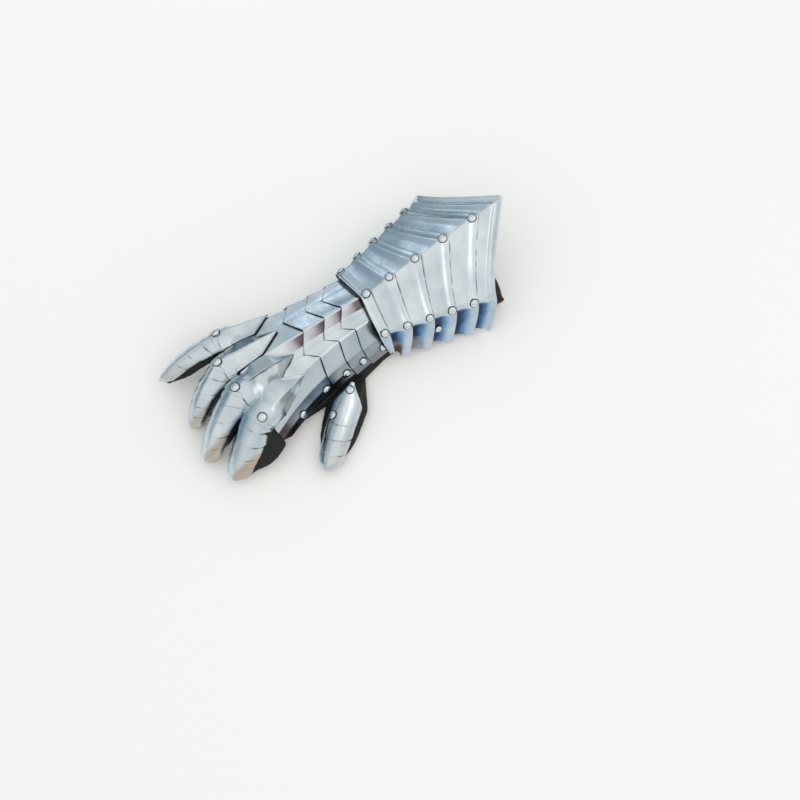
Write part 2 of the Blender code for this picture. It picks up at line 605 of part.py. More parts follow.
def build_scales(name, spine, edges, steel, leaf=False):
    """Lapping plates along a finger, each over the next one out, the last drawn in to a claw."""
    for number, (start, end) in enumerate(zip(edges, edges[1:]), 1):
        last = number == len(edges) - 1
        near = start * spine.length - FINGER_LAP
        far = end * spine.length
        if leaf and number == 1:
            near = 0.0
        lapped = FINGER_LAP / (far - near)
        rows = CLAW_ROWS if last else LEAF_ROWS if leaf and number == 1 else PLAIN_ROWS
        grid, raised = [], []
        for row in rows:
            distance = mix(near, far, row.share)
            half_width = width_at(spine, distance) * row.width
            depth = depth_at(spine, distance) * row.depth
            at_end = row.share == 1.0
            slip = EDGE_SLIP if at_end and not last else 0.0
            grid.append(cross_line(spine_frame(spine, distance), half_width, depth, 1.0, slip))
            lift = shingle_lift(0.0 if at_end and last else row.share, lapped)
            raised.append([lift] * len(plate_columns()))
        frame = spine_frame(spine, mix(near, far, 0.5))
        plate = shell(f"{name}_{number}", grid, raised, PLATE_THICKNESS, steel, frame.up)
        if leaf and number == 1:
            places = []
            for distance, aside in LEAF_RIVETS:
                frame = spine_frame(spine, distance)
                places.append(frame.place + frame.side * (aside * spine.half_width))
            fasten(plate, places, Vector((0, 0, 1)), steel)


def lame_top(point):
    """Height of the last hand lame's outer face over a point."""
    rear = HAND_LAP - HAND_EDGES[-2] * HAND_LENGTH
    heights = []
    for fold in HAND_FOLDS:
        front = -HAND_EDGES[-1] * HAND_LENGTH - SCALE_DEPTH * fold.lobe
        share = min(1.0, max(0.0, (rear - point.x) / (rear - front)))
        place = hand_point(mix(rear, front, share), fold)
        heights.append((place.y, place.z + shingle_lift(share, LAST_LAPPED)))
    for (first_y, first_z), (second_y, second_z) in zip(heights, heights[1:]):
        if second_y <= point.y <= first_y:
            return mix(first_z, second_z, (point.y - first_y) / (second_y - first_y))
    return 0.0


def clear_of_lame(point):
    """The point, raised where it has to be for a plate to clear the last hand lame and its folds nearby."""
    nearby = [lame_top(point + Vector((0, aside, 0))) for aside in (-DRAPE_REACH, 0.0, DRAPE_REACH)]
    step = KNUCKLE_STEP * (PLATE_THICKNESS + PLATE_GAP)
    return Vector((point.x, point.y, max(point.z, max(nearby) + step)))


def build_knuckle_plate(finger, steel):
    """A long keeled plate from its point on the hand lames to just past the knuckle, over the first scale."""
    spine = finger_spine(finger)
    point = Vector((-finger.point_along * HAND_LENGTH, finger.point_across * KNUCKLE_HALF_WIDTH, 0))
    point = clear_of_lame(point)
    behind = spine_frame(spine, -FINGER_LAP - KNUCKLE_OVERLAP)
    level = (behind.place - point).normalized()
    side = Vector((0, 0, 1)).cross(level).normalized()
    rows = []
    for row in KNUCKLE_ROWS:
        blend = row.share**KNUCKLE_BLEND
        frame = Frame(
            point.lerp(behind.place, row.share),
            level,
            side.lerp(behind.side, blend).normalized(),
            level.cross(side).lerp(behind.up, blend).normalized(),
        )
        lean = finger.lean * (1 - blend)
        line = cross_line(frame, row.width * spine.half_width, row.depth * FINGER_DEPTH, row.arch, 0.0, lean)
        rows.append([clear_of_lame(place) for place in line])
    lifts = [0.0] * len(rows)
    length = SCALE_EDGES[1] * spine.length + FINGER_LAP
    full = PLATE_THICKNESS + PLATE_GAP
    full += shingle_lift((FINGER_LAP + KNUCKLE_OVERLAP) / length, FINGER_LAP / length)
    for distance in (-FINGER_LAP - KNUCKLE_OVERLAP, -FINGER_LAP, 0.0, KNUCKLE_OVERLAP):
        frame = spine_frame(spine, distance)
        slip = KNUCKLE_SLIP if distance > 0 else 0.0
        rows.append(cross_line(frame, width_at(spine, distance), depth_at(spine, distance), 1.0, slip))
        lifts.append(full)
    raised = [[value] * len(plate_columns()) for value in lifts]
    plate = shell(f"knuckle_plate_{finger.name}", rows, raised, PLATE_THICKNESS, steel)
    knuckle = spine_frame(spine, 0.0)
    fasten(plate, [knuckle.place - knuckle.ahead * RIVET_SETBACK], knuckle.up, steel, knuckle.ahead)


# Glove


def cuff_section(along, across):
    """The point of the cuff's surface on a fold or facet where it crosses a plane square to the forearm."""
    station = along
    for _ in range(4):
        station += along - cuff_point(station, across).x
    return cuff_point(station, across)


def knuckle_line(across):
    """Where the glove's body ends and the fingers begin, for a place across the hand."""
    furthest, bend, middle = KNUCKLE_ARC
    return -HAND_LENGTH * (furthest - bend * (across / KNUCKLE_HALF_WIDTH - middle) ** 2)


def plate_section(along):
    """The plates' outer faces in a plane square to the forearm, from the pinky side's foot to the other."""
    if along <= HAND_TUCK:
        last = -HAND_EDGES[-1] * HAND_LENGTH
        section = [hand_point(max(along, last), fold) for fold in HAND_FOLDS]
    else:
        section = [cuff_section(along, across) for across in GLOVE_ACROSS]
    return [Vector((along, point.y, point.z)) for point in section]


def inset(ring, distance):
    """A closed ring of points, going round over the back to the thumb side, moved inwards by a distance."""
    result = []
    for k, point in enumerate(ring):
        ways = []
        for first, second in ((ring[k - 1], point), (point, ring[(k + 1) % len(ring)])):
            step = second - first
            ways.append(Vector((0, -step.z, step.y)).normalized())
        mean = (ways[0] + ways[1]).normalized()
        result.append(point + mean * (distance / max(SHARPEST_CORNER, mean.dot(ways[0]))))
    return result


def glove_rings(section):
    """Outer and inner ring of the glove's body, over the back to the thumb side and back under the palm."""
    along = -section.along * (HAND_LENGTH if section.along > 0 else CUFF_LENGTH + GLOVE_REACH)
    over = inset(plate_section(along), PLATE_THICKNESS + GLOVE_GAP + GLOVE_EASE)
    over = [Vector((along, p.y * section.width, p.z * section.height)) for p in over]
    under = section.under * STRAP_THICKNESS
    palm = []
    for side, reach in ((-1, section.fold_thumb), (1, section.fold_pinky)):
        fold = PALM_FOLD_HEIGHT * (section.fold if side < 0 else min(1.0, section.fold))
        fold_top = under + fold + FOLD_RISE
        tucked = over[-1 if side < 0 else 0]
        tucked.z = max(tucked.z, fold_top + FOLD_RISE)
        out = tucked.y * reach
        flank = [
            Vector((along, tucked.y, fold_top)),
            Vector((along, mix(tucked.y, out, FOLD_SHOULDER[0]), under + fold * FOLD_SHOULDER[1])),
            Vector((along, mix(tucked.y, out, FOLD_CREST[0]), under + fold * FOLD_CREST[1])),
            Vector((along, out - side * PALM_ROUNDING, under)),
        ]
        palm += flank if side < 0 else [Vector((along, 0, under))] + flank[::-1]
    ring = over + palm
    if section.along == 1.0:
        for point in ring:
            point.x = knuckle_line(point.y)
    return ring, inset(ring, LEATHER_THICKNESS)


def build_glove_body(leather):
    pairs = [glove_rings(section) for section in GLOVE_SECTIONS]
    body = tube("glove_body", [pair[0] for pair in pairs], [pair[1] for pair in pairs], leather)
    # The palm fold is cut open where the thumb grows out of it.
    cutter = bmesh.new()
    bmesh.ops.create_cube(cutter, size=1.0)
    width, reach = THUMB_CUTTER
    bmesh.ops.scale(cutter, vec=(width, reach, reach), verts=cutter.verts)
    plane = -THUMB_MOUTH_ACROSS * WRIST_HALF_WIDTH
    centre = Vector((-THUMB_MOUTH_ALONG * HAND_LENGTH, plane - reach / 2, 0))
    bmesh.ops.translate(cutter, vec=centre, verts=cutter.verts)
    helper = object_from("glove_body_thumb_cutter", cutter, leather)
    helper.hide_render = True
    helper.display_type = "WIRE"
    cut = body.modifiers.new("thumb mouth", "BOOLEAN")
    cut.operation = "DIFFERENCE"
    cut.solver = "EXACT"
    cut.object = helper
    return body


def stall_point(spine, distance, turn, thickness, girth=1.0):
    """A point round a leather finger, the turn counted from its back."""
    frame = spine_frame(spine, distance)
    clear = PLATE_THICKNESS + GLOVE_GAP
    share = distance / spine.length
    narrowing = max(0.0, (share - STALL_DRAWN_FROM) / (1 - STALL_DRAWN_FROM))
    drawn = girth * mix(1.0, STALL_DRAWN, narrowing)
    half_width = (width_at(spine, distance) - clear) * drawn - thickness
    half_depth = depth_at(spine, distance) * STALL_DEPTH * drawn
    centre = frame.place - frame.up * (clear + half_depth)
    below = STALL_SAG if math.cos(turn) < 0 else 1.0
    # Beneath the plates the leather bulges out, most halfway along and on the thumb side.
    low = min(1.0, max(0.0, -2 * math.cos(turn)))
    starts, reached, going, gone = STALL_SWELL
    swell = max(0.0, min(1.0, (share - starts) / (reached - starts), (gone - share) / (gone - going)))
    bulge = 1 + spine.full * low * swell * (1.0 if math.sin(turn) > 0 else STALL_PINKY_SHARE)
    out = frame.side * (math.sin(turn) * half_width * bulge)
    place = centre + out + frame.up * (math.cos(turn) * (half_depth * below - thickness))
    # Where a finger would reach lower than the palm, it lies flat.
    place.z = max(place.z, thickness + STALL_GAP)
    return place


def stall_tips(spine, share, last_ring):
    """Outer and inner end point of a leather finger whose last ring lies at this share of its length."""
    ahead = spine_frame(spine, share * spine.length).ahead
    centre = sum(last_ring, Vector()) / STALL_SIDES
    return centre + ahead * STALL_TIP, centre + ahead * (STALL_TIP - LEATHER_THICKNESS)


def build_stall(name, spine, leather):
    """A closed leather finger whose open end meets the glove's body."""
    turns = [2 * math.pi * (k + 0.5) / STALL_SIDES for k in range(STALL_SIDES)]
    outer, inner = [], []
    for rings, thickness in ((outer, 0.0), (inner, LEATHER_THICKNESS)):
        mouth = []
        for turn in turns:
            distance = 0.0
            for _ in range(4):
                point = stall_point(spine, distance, turn, thickness, STALL_MOUTH)
                goal = knuckle_line(point.y) - STALL_GAP
                distance += (goal - point.x) / spine_frame(spine, distance).ahead.x
            mouth.append(stall_point(spine, distance, turn, thickness, STALL_MOUTH))
        rings.append(mouth)
        for share in STALL_RINGS:
            rings.append([stall_point(spine, share * spine.length, turn, thickness) for turn in turns])
    return tube(name, outer, inner, leather, stall_tips(spine, STALL_RINGS[-1], outer[-1]))


def build_thumb_stall(spine, leather):
    """The leather thumb, from a flat mouth in the glove's palm fold to its closed tip."""
    turns = [2 * math.pi * (k + 0.5) / STALL_SIDES for k in range(STALL_SIDES)]
    outer, inner = [], []
    middle = -THUMB_MOUTH_ALONG * HAND_LENGTH
    plane = -THUMB_MOUTH_ACROSS * WRIST_HALF_WIDTH - STALL_GAP
    for rings, thickness in ((outer, 0.0), (inner, LEATHER_THICKNESS)):
        mouth = []
        for turn in turns:
            along = middle + math.sin(turn) * (THUMB_MOUTH_WIDTH / 2 - thickness)
            half = THUMB_FOLD_HEIGHT / 2
            height = half + math.cos(turn) * (half - STALL_GAP / 2 - thickness)
            mouth.append(Vector((along, plane, height)))
        rings.append(mouth)
        for share in THUMB_RINGS:
            rings.append([stall_point(spine, share * spine.length, turn, thickness) for turn in turns])
    return tube("glove_thumb", outer, inner, leather, stall_tips(spine, THUMB_RINGS[-1], outer[-1]))


def build_strap(leather):
    """A band round the open side of the cuff, from one side wall to the other."""
    grid = []
    for along in (STRAP_ALONG * CUFF_LENGTH - STRAP_WIDTH / 2, STRAP_ALONG * CUFF_LENGTH + STRAP_WIDTH / 2):
        line = []
        for side in (1, -1):
            half = []
            for across in STRAP_ACROSS:
                wall = cuff_section(along, side * across)
                half.append(Vector((along, wall.y - side * (PLATE_THICKNESS + STRAP_GAP), wall.z)))
            half.append(Vector((along, half[-1].y - side * STRAP_TURN, 0.0)))
            line += half if side > 0 else half[::-1]
        grid.append(line)
    flat = [[0.0] * len(grid[0])] * 2
    return shell("cuff_strap", grid, flat, STRAP_THICKNESS, leather, Vector((0, 0, -1)))


def assemble():
    """Hangs every piece on one empty that puts the middle of the gauntlet over the origin."""
    bpy.context.view_layer.update()
    pieces = [obj for obj in bpy.context.scene.collection.objects if obj.type == "MESH"]
    corners = [Vector(corner) for obj in pieces if not obj.hide_render for corner in obj.bound_box]
    gauntlet = bpy.data.objects.new("gauntlet", None)
    bpy.context.scene.collection.objects.link(gauntlet)
    for axis in (0, 1):
        values = [corner[axis] for corner in corners]
        gauntlet.location[axis] = -(min(values) + max(values)) / 2
    for obj in pieces:
        obj.parent = gauntlet


def build():
    clear_scene()
    steel = make_material("polished steel", (0.62, 0.68, 0.74), 1.0, 0.22)
    leather = make_material("black leather", (0.012, 0.012, 0.013), 0.0, 0.55)
    for number in range(1, CUFF_LAMES + 1):
        build_cuff_lame(number, steel)
    for number in range(1, len(HAND_EDGES) + 1):
        build_hand_lame(number, steel)
    for finger in FINGERS:
        build_knuckle_plate(finger, steel)
        build_scales(f"scale_{finger.name}", finger_spine(finger), SCALE_EDGES, steel)
    build_scales("thumb_plate", thumb_spine(), THUMB_EDGES, steel, leaf=True)
    build_glove_body(leather)
    for finger in FINGERS:
        build_stall(f"glove_{finger.name}", finger_spine(finger), leather)
    build_thumb_stall(thumb_spine(), leather)
    build_strap(leather)
    assemble()


build()
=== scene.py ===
import math

import bpy
import numpy as np
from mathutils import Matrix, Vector, noise
from mathutils.bvhtree import BVHTree


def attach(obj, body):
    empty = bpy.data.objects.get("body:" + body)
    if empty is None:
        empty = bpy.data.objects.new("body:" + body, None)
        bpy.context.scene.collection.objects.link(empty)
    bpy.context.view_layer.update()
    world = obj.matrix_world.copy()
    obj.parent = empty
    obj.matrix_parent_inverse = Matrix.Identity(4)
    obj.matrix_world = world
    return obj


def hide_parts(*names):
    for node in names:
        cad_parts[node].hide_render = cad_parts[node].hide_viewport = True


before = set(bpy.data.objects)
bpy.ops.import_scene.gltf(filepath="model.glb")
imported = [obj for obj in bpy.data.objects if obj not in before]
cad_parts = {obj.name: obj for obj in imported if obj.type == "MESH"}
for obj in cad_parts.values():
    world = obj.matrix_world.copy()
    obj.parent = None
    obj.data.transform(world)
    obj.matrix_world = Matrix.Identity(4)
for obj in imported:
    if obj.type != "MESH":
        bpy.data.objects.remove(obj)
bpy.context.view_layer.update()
print("frame loaded:", len(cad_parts), "solids")

mm = 0.001

# Where the wrist rivets and the cuff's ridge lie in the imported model. Everything below is worked out from there.
wristPlace = Vector((0.0219377, 0.0218665, 0.0))


def mix(first, last, share):
    return first + (last - first) * share


def soft(share):
    share = min(1.0, max(0.0, share))
    return share * share * (3 - 2 * share)


def bump(distance, width):
    return math.exp(-((distance / width) ** 2))


# Materials

def linear(colour):
    channels = [int(colour[k : k + 2], 16) / 255 for k in (1, 3, 5)]
    return (*[c / 12.92 if c <= 0.04045 else ((c + 0.055) / 1.055) ** 2.4 for c in channels], 1.0)


def newMaterial(name):
    material = bpy.data.materials.new(name)
    material.use_nodes = True
    material.node_tree.nodes.clear()
    return material, material.node_tree


def add(tree, kind, settings=None, links=None):
    # settings: an attribute of the node, or the name or number of one of its inputs. links: input from an output.
    node = tree.nodes.new(kind)
    for key, value in (settings or {}).items():
        if isinstance(key, str) and hasattr(node, key) and key not in node.inputs:
            setattr(node, key, value)
        else:
            node.inputs[key].default_value = value
    for key, source in (links or {}).items():
        tree.links.new(source, node.inputs[key])
    return node


def ramp(tree, source, stops):
    node = add(tree, "ShaderNodeValToRGB", links={"Fac": source})
    while len(node.color_ramp.elements) < len(stops):
        node.color_ramp.elements.new(0.5)
    for element, (place, colour) in zip(node.color_ramp.elements, stops):
        element.position = place
        element.color = linear(colour) if isinstance(colour, str) else (colour, colour, colour, 1.0)
    return node.outputs["Color"]


def objectPlace(tree):
    return add(tree, "ShaderNodeTexCoord").outputs["Object"]


def grain(tree, place, size, detail):
    return add(tree, "ShaderNodeTexNoise", {"Scale": 1 / size, "Detail": detail}, {"Vector": place}).outputs["Fac"]


def painted(tree, label):
    return add(tree, "ShaderNodeAttribute", {"attribute_name": label}).outputs["Fac"]


def calc(tree, operation, *values, clamped=False):
    # The values are numbers or outputs of nodes.
    node = add(tree, "ShaderNodeMath", {"operation": operation, "use_clamp": clamped})
    for socket, value in zip(node.inputs, values):
        if isinstance(value, float):
            socket.default_value = value
        else:
            tree.links.new(value, socket)
    return node.outputs[0]


def tint(tree, amount, below, above):
    # Lays one colour over another. The upper one is a hex colour or the output of a node.
    if isinstance(above, str):
        return add(tree, "ShaderNodeMix", {"data_type": "RGBA", 7: linear(above)}, {0: amount, 6: below}).outputs[2]
    return add(tree, "ShaderNodeMix", {"data_type": "RGBA"}, {0: amount, 6: below, 7: above}).outputs[2]


def relief(tree, height, distance, strength, under=None):
    links = {"Height": height} if under is None else {"Height": height, "Normal": under}
    return add(tree, "ShaderNodeBump", {"Strength": strength, "Distance": distance}, links).outputs["Normal"]


def principled(material, constants, links):
    tree = material.node_tree
    shader = add(tree, "ShaderNodeBsdfPrincipled", constants, links)
    add(tree, "ShaderNodeOutputMaterial", links={"Surface": shader.outputs[0]})
    return material


steelLook = {
    "bright": "#d9e0e3",
    "dull": "#c0cacf",
    # Painted shadow colour, for the lines along laps and edges and for shaded facets.
    "shadowPaint": "#0e1114",
    # Painted reflections of the blue and the brown surroundings, their darker tones also painted shade, from a trace to
    # a full one.
    "blues": ((0.0, "#c9dcea"), (0.3, "#94b5d2"), (0.6, "#5a80a8"), (0.8, "#304b6c"), (1.0, "#131b26")),
    "browns": ((0.0, "#d2cdcb"), (0.35, "#a39b9c"), (0.6, "#685d63"), (0.8, "#57463d"), (1.0, "#33241f")),
    "straw": "#b9a591",
    "wave": 20 * mm,
    "waveHeight": 0.10 * mm,
    "scratch": 0.9 * mm,
    "scratchHeight": 0.006 * mm,
}


def polishedSteel():
    # Carbon steel sheet, hammered and then buffed: mirror bright with soft waves, fine buffing lines and smears.
    material, tree = newMaterial("buffed carbon steel")
    place = objectPlace(tree)
    colour = ramp(tree, grain(tree, place, 30 * mm, 3.0), ((0.30, steelLook["dull"]), (0.62, steelLook["bright"])))
    uneven = calc(tree, "MULTIPLY_ADD", grain(tree, place, 9 * mm, 3.0), 0.5, -0.25)
    # Painted blue and brown reflections, laid over the steel's own colour by their attributes.
    for label, tones, gain in (("paintedBlueReflection", "blues", 2.2), ("paintedBrownReflection", "browns", 1.8)):
        paintedReflection = painted(tree, label)
        tone = ramp(tree, calc(tree, "ADD", paintedReflection, uneven), steelLook[tones])
        colour = tint(tree, calc(tree, "MULTIPLY", paintedReflection, gain, clamped=True), colour, tone)
    # Straw, then painted shadow, each laid on by its attribute.
    for label in ("straw", "shadowPaint"):
        colour = tint(tree, painted(tree, label + "ed"), colour, steelLook[label])
    rough = ramp(tree, grain(tree, place, 7 * mm, 2.0), ((0.25, 0.20), (0.75, 0.31)))
    waved = relief(tree, grain(tree, place, steelLook["wave"], 1.5), steelLook["waveHeight"], 1.0)
    stretched = add(tree, "ShaderNodeMapping", {"Scale": (1.0, 0.06, 0.3)}, {"Vector": place}).outputs[0]
    lines = grain(tree, stretched, steelLook["scratch"], 4.0)
    scratched = relief(tree, lines, steelLook["scratchHeight"], 0.3, waved)
    return principled(material, {"Metallic": 1.0}, {"Base Color": colour, "Roughness": rough, "Normal": scratched})


def forgedSteel():
    # The back of the same sheet, left as it came from the fire: dark grey scale with no polish.
    material, tree = newMaterial("unpolished steel")
    scale = grain(tree, objectPlace(tree), 6 * mm, 5.0)
    tone = ramp(tree, scale, ((0.3, "#33383c"), (0.7, "#5a6167")))
    links = {"Base Color": tone, "Normal": relief(tree, scale, 0.1 * mm, 0.6)}
    return principled(material, {"Metallic": 1.0, "Roughness": 0.55}, links)


def rivetSteel():
    # Dome rivets, turned and tumbled: the brightest metal on the piece.
    material, tree = newMaterial("tumbled steel rivets")
    dents = grain(tree, objectPlace(tree), 2.5 * mm, 2.0)
    rough = ramp(tree, dents, ((0.3, 0.10), (0.7, 0.24)))
    links = {"Roughness": rough, "Normal": relief(tree, dents, 0.12 * mm, 0.5)}
    return principled(material, {"Metallic": 1.0, "Base Color": linear("#d9dee1")}, links)


leatherLook = {"dark": "#030303", "worn": "#0b0a09", "edge": "#4a3226", "grain": 1.1 * mm, "grainHeight": 0.12 * mm}


def blackLeather():
    # Chrome-tanned cowhide, dyed black, with a pebbled grain and a low sheen, and brown where an edge is cut or rubbed.
    material, tree = newMaterial("black cowhide")
    place = objectPlace(tree)
    pebbles = {"feature": "SMOOTH_F1", "Scale": 1 / leatherLook["grain"], "Smoothness": 0.5}
    cells = add(tree, "ShaderNodeTexVoronoi", pebbles, {"Vector": place}).outputs["Distance"]
    blotch = grain(tree, place, 12 * mm, 4.0)
    tone = ramp(tree, blotch, ((0.35, leatherLook["dark"]), (0.75, leatherLook["worn"])))
    links = {
        "Base Color": tint(tree, painted(tree, "worn"), tone, leatherLook["edge"]),
        "Roughness": ramp(tree, blotch, ((0.3, 0.56), (0.7, 0.74))),
        "Normal": relief(tree, cells, leatherLook["grainHeight"], 0.7),
    }
    return principled(material, {}, links)


def fleshSide():
    # The rough inner side of the hide: matt dark brown with short fibres.
    material, tree = newMaterial("suede flesh side")
    fibres = grain(tree, objectPlace(tree), 0.9 * mm, 6.0)
    tone = ramp(tree, fibres, ((0.3, "#2a1d16"), (0.7, "#4b362a")))
    links = {"Base Color": tone, "Normal": relief(tree, fibres, 0.2 * mm, 0.8)}
    return principled(material, {"Roughness": 0.95}, links)


def paintedRivetShadow():
    # Painted shadow: a flat black disc that stands for the shade in the ring round a rivet's foot.
    return principled(newMaterial("painted rivet shadow")[0], {"Roughness": 0.7, "Base Color": linear("#14171a")}, {})


def waxedThread():
    # Waxed linen thread, dyed dark.
    material, tree = newMaterial("waxed linen thread")
    tone = ramp(tree, grain(tree, objectPlace(tree), 0.6 * mm, 2.0), ((0.3, "#15110f"), (0.7, "#3a2f28")))
    return principled(material, {"Roughness": 0.6}, {"Base Color": tone})


steel = polishedSteel()
steelBack = forgedSteel()
rivetMetal = rivetSteel()
rivetShadowPaint = paintedRivetShadow()
leather = blackLeather()
suede = fleshSide()
thread = waxedThread()
print("materials made")


# Meshes

plate = {"thickness": 1.2 * mm, "gap": 0.55 * mm, "edge": 0.4 * mm}


def linked(name, data):
    obj = bpy.data.objects.new(name, data)
    bpy.context.scene.collection.objects.link(obj)
    return obj


def meshObject(name, points, faces, materials, faceMaterials=None):
    mesh = bpy.data.meshes.new(name)
    mesh.from_pydata([tuple(point) for point in points], [], [tuple(face) for face in faces])
    for material in materials:
        mesh.materials.append(material)
    if faceMaterials is not None:
        mesh.polygons.foreach_set("material_index", faceMaterials)
    mesh.shade_smooth()
    mesh.update()
    return linked(name, mesh)


def gridFaces(rows, columns, first, turned):
    faces = []
    for r in range(rows - 1):
        for c in range(columns - 1):
            corner = first + r * columns + c
            face = (corner, corner + 1, corner + columns + 1, corner + columns)
            faces.append(face[::-1] if turned else face)
    return faces


def shellFaces(count, columns, turned):
    # Faces of a sheet between two grids, and for each of them 0, or 1 on the back.
    size = count * columns
    faces = gridFaces(count, columns, 0, not turned) + gridFaces(count, columns, size, turned)
    backs = [0] * (len(faces) // 2) + [1] * (len(faces) // 2)
    edge = [(0, c) for c in range(columns)] + [(r, columns - 1) for r in range(1, count)]
    edge += [(count - 1, c) for c in range(columns - 2, -1, -1)] + [(r, 0) for r in range(count - 2, 0, -1)]
    loop = [r * columns + c for r, c in edge]
    for here, there in zip(loop, loop[1:] + loop[:1]):
        faces.append((there, here, here + size, there + size) if turned else (here, there, there + size, here + size))
        backs.append(0)
    return faces, backs


def addEdgeLines(values, spacing):
    # One more row and column close to each edge of a grid, for the rounding of the plate's edge.
    for axis in (0, 1):
        values = np.swapaxes(values, 0, axis)
        share = spacing[axis]
        first = values[:1] + (values[1:2] - values[:1]) * share[0]
        last = values[-1:] + (values[-2:-1] - values[-1:]) * share[1]
        values = np.concatenate([values[:1], first, values[1:-1], last, values[-1:]])
        values = np.swapaxes(values, 0, axis)
    return values


def waysOut(grid, outward):
    normals = np.cross(np.gradient(grid, axis=0), np.gradient(grid, axis=1))
    normals /= np.maximum(np.linalg.norm(normals, axis=2, keepdims=True), 1e-12)
    middle = normals[len(grid) // 2, grid.shape[1] // 2]
    return normals if middle @ np.array(outward) > 0 else -normals


def plateObject(name, rows, outward=(0, 0, 1)):
    # A plate of sheet steel, its edges rounded. Each row lists points, how far the outer face is raised there, and how
    # strongly it carries painted blue reflection, painted brown reflection, straw and painted shadow.
    grid = np.array([[tuple(point) for point, *_ in row] for row in rows])
    lift, *tints = np.moveaxis(np.array([[values for _, *values in row] for row in rows]), 2, 0)
    spacing = []
    for axis in (0, 1):
        turned = np.swapaxes(grid, 0, axis)
        steps = [np.linalg.norm(turned[1] - turned[0], axis=1), np.linalg.norm(turned[-1] - turned[-2], axis=1)]
        spacing.append([min(0.45, plate["edge"] / max(step.mean(), 1e-6)) for step in steps])
    grid = addEdgeLines(grid, spacing)
    lift = addEdgeLines(lift, spacing)
    tints = [addEdgeLines(tint, spacing) for tint in tints]
    normal = waysOut(grid, outward)
    drop = np.zeros(lift.shape)
    for line in (np.s_[0, :], np.s_[-1, :], np.s_[:, 0], np.s_[:, -1]):
        drop[line] = plate["edge"]
    outer = grid + normal * (lift - drop)[..., None]
    inner = grid + normal * (lift - plate["thickness"] + drop)[..., None]
    count, columns = lift.shape
    points = np.concatenate([outer.reshape(-1, 3), inner.reshape(-1, 3)]) + np.array(wristPlace)
    turned = np.cross(grid[1, 1] - grid[0, 1], grid[0, 2] - grid[0, 1]) @ normal[0, 1] < 0
    faces, backs = shellFaces(count, columns, turned)
    obj = meshObject(name, points, faces, (steel, steelBack), backs)
    for label, tint in zip(("paintedBlueReflection", "paintedBrownReflection", "strawed", "shadowPainted"), tints):
        values = obj.data.attributes.new(label, "FLOAT", "POINT")
        values.data.foreach_set("value", np.concatenate([tint.ravel(), tint.ravel()]).astype(np.float32))
    return obj


def finishPiece(obj, cadNodes):
    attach(obj, "root")
    if cadNodes:
        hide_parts(*cadNodes)


def paintedShadowLine(distance, point, width=0.8 * mm):
    # A painted shadow line beside a lap, broken here and there. The distance counts from the lapping plate's edge.
    broken = soft(0.62 + 1.3 * noise.noise(point / (7 * mm)))
    return broken * bump(max(0.0, distance - 0.2 * mm), width) if distance > -1.5 * mm else 0.0


def hammered(point, height, pitch=22 * mm):
    # The slow waves that the hammer leaves in a plate.
    return noise.noise(Vector(point) / pitch + Vector((3.1, 7.7, 1.3))) * height


# Rivets, set on the plates by geometry nodes

rivet = {
    "radius": 4.0 * mm,
    "height": 2.7 * mm,
    "seat": 0.35 * mm,
    "segments": 24,
    "rings": 14,
    "wobble": 0.05,
    "seed": 7,
    "reach": 14 * mm,  # how far over and under a seat the plate's face is looked for
    # The ring is a dark disc of painted shadow round each head's foot.
    "ring": 1.13,  # radius of the dark ring round a head over the head's own
    "ringHeight": 0.42,  # and its height over the head's
}
rivetSeats = []


def seatRivet(piece, place, outward):
    reach = rivet["reach"]
    tree = BVHTree.FromObject(piece, bpy.context.evaluated_depsgraph_get())
    outward = outward.normalized()
    aside = outward.orthogonal().normalized()
    other = outward.cross(aside)
    start = place + wristPlace + outward * reach
    hit = tree.ray_cast(start, -outward, reach * 2)[0]
    if hit is None:
        return
    axis = outward * 0.2
    for turn in range(8):
        angle = math.pi * turn / 4
        way = aside * math.cos(angle) + other * math.sin(angle)
        found = tree.ray_cast(start + way * rivet["radius"] * 0.9, -outward, reach * 2)
        if found[0] is not None and (found[0] - hit).length < reach / 2:
            axis += found[1]
    rivetSeats.append((hit, axis.normalized()))


def nodeTree(name, values):
    # A geometry node tree with one named input for each value.
    tree = bpy.data.node_groups.new(name, "GeometryNodeTree")
    tree.interface.new_socket(name="Geometry", in_out="INPUT", socket_type="NodeSocketGeometry")
    for label, value in values.items():
        kind = "NodeSocketInt" if isinstance(value, int) else "NodeSocketFloat"
        tree.interface.new_socket(name=label, in_out="INPUT", socket_type=kind).default_value = value
    tree.interface.new_socket(name="Geometry", in_out="OUTPUT", socket_type="NodeSocketGeometry")
    given = tree.nodes.new("NodeGroupInput")
    return tree, [given.outputs[label] for label in ("Geometry", *values)]


def grown(source, tree, values, name):
    # Runs the node tree on the object and returns its result as a plain mesh object.
    modifier = source.modifiers.new("nodes", "NODES")
    modifier.node_group = tree
    for item in tree.interface.items_tree:
        if item.item_type == "SOCKET" and item.in_out == "INPUT" and item.name in values:
            modifier[item.identifier] = values[item.name]
    bpy.context.view_layer.update()
    evaluated = source.evaluated_get(bpy.context.evaluated_depsgraph_get())
    mesh = bpy.data.meshes.new_from_object(evaluated)
    mesh.name = name
    bpy.data.objects.remove(source)
    return linked(name, mesh)


def seatPoints(name, seats, label):
    # One point for each seat, and the way that goes with it as an attribute.
    points = bpy.data.meshes.new(name + "Seats")
    points.from_pydata([tuple(place) for place, _ in seats], [], [])
    ways = points.attributes.new(label, "FLOAT_VECTOR", "POINT")
    ways.data.foreach_set("vector", [value for _, way in seats for value in way])
    return linked(name + "Seats", points)


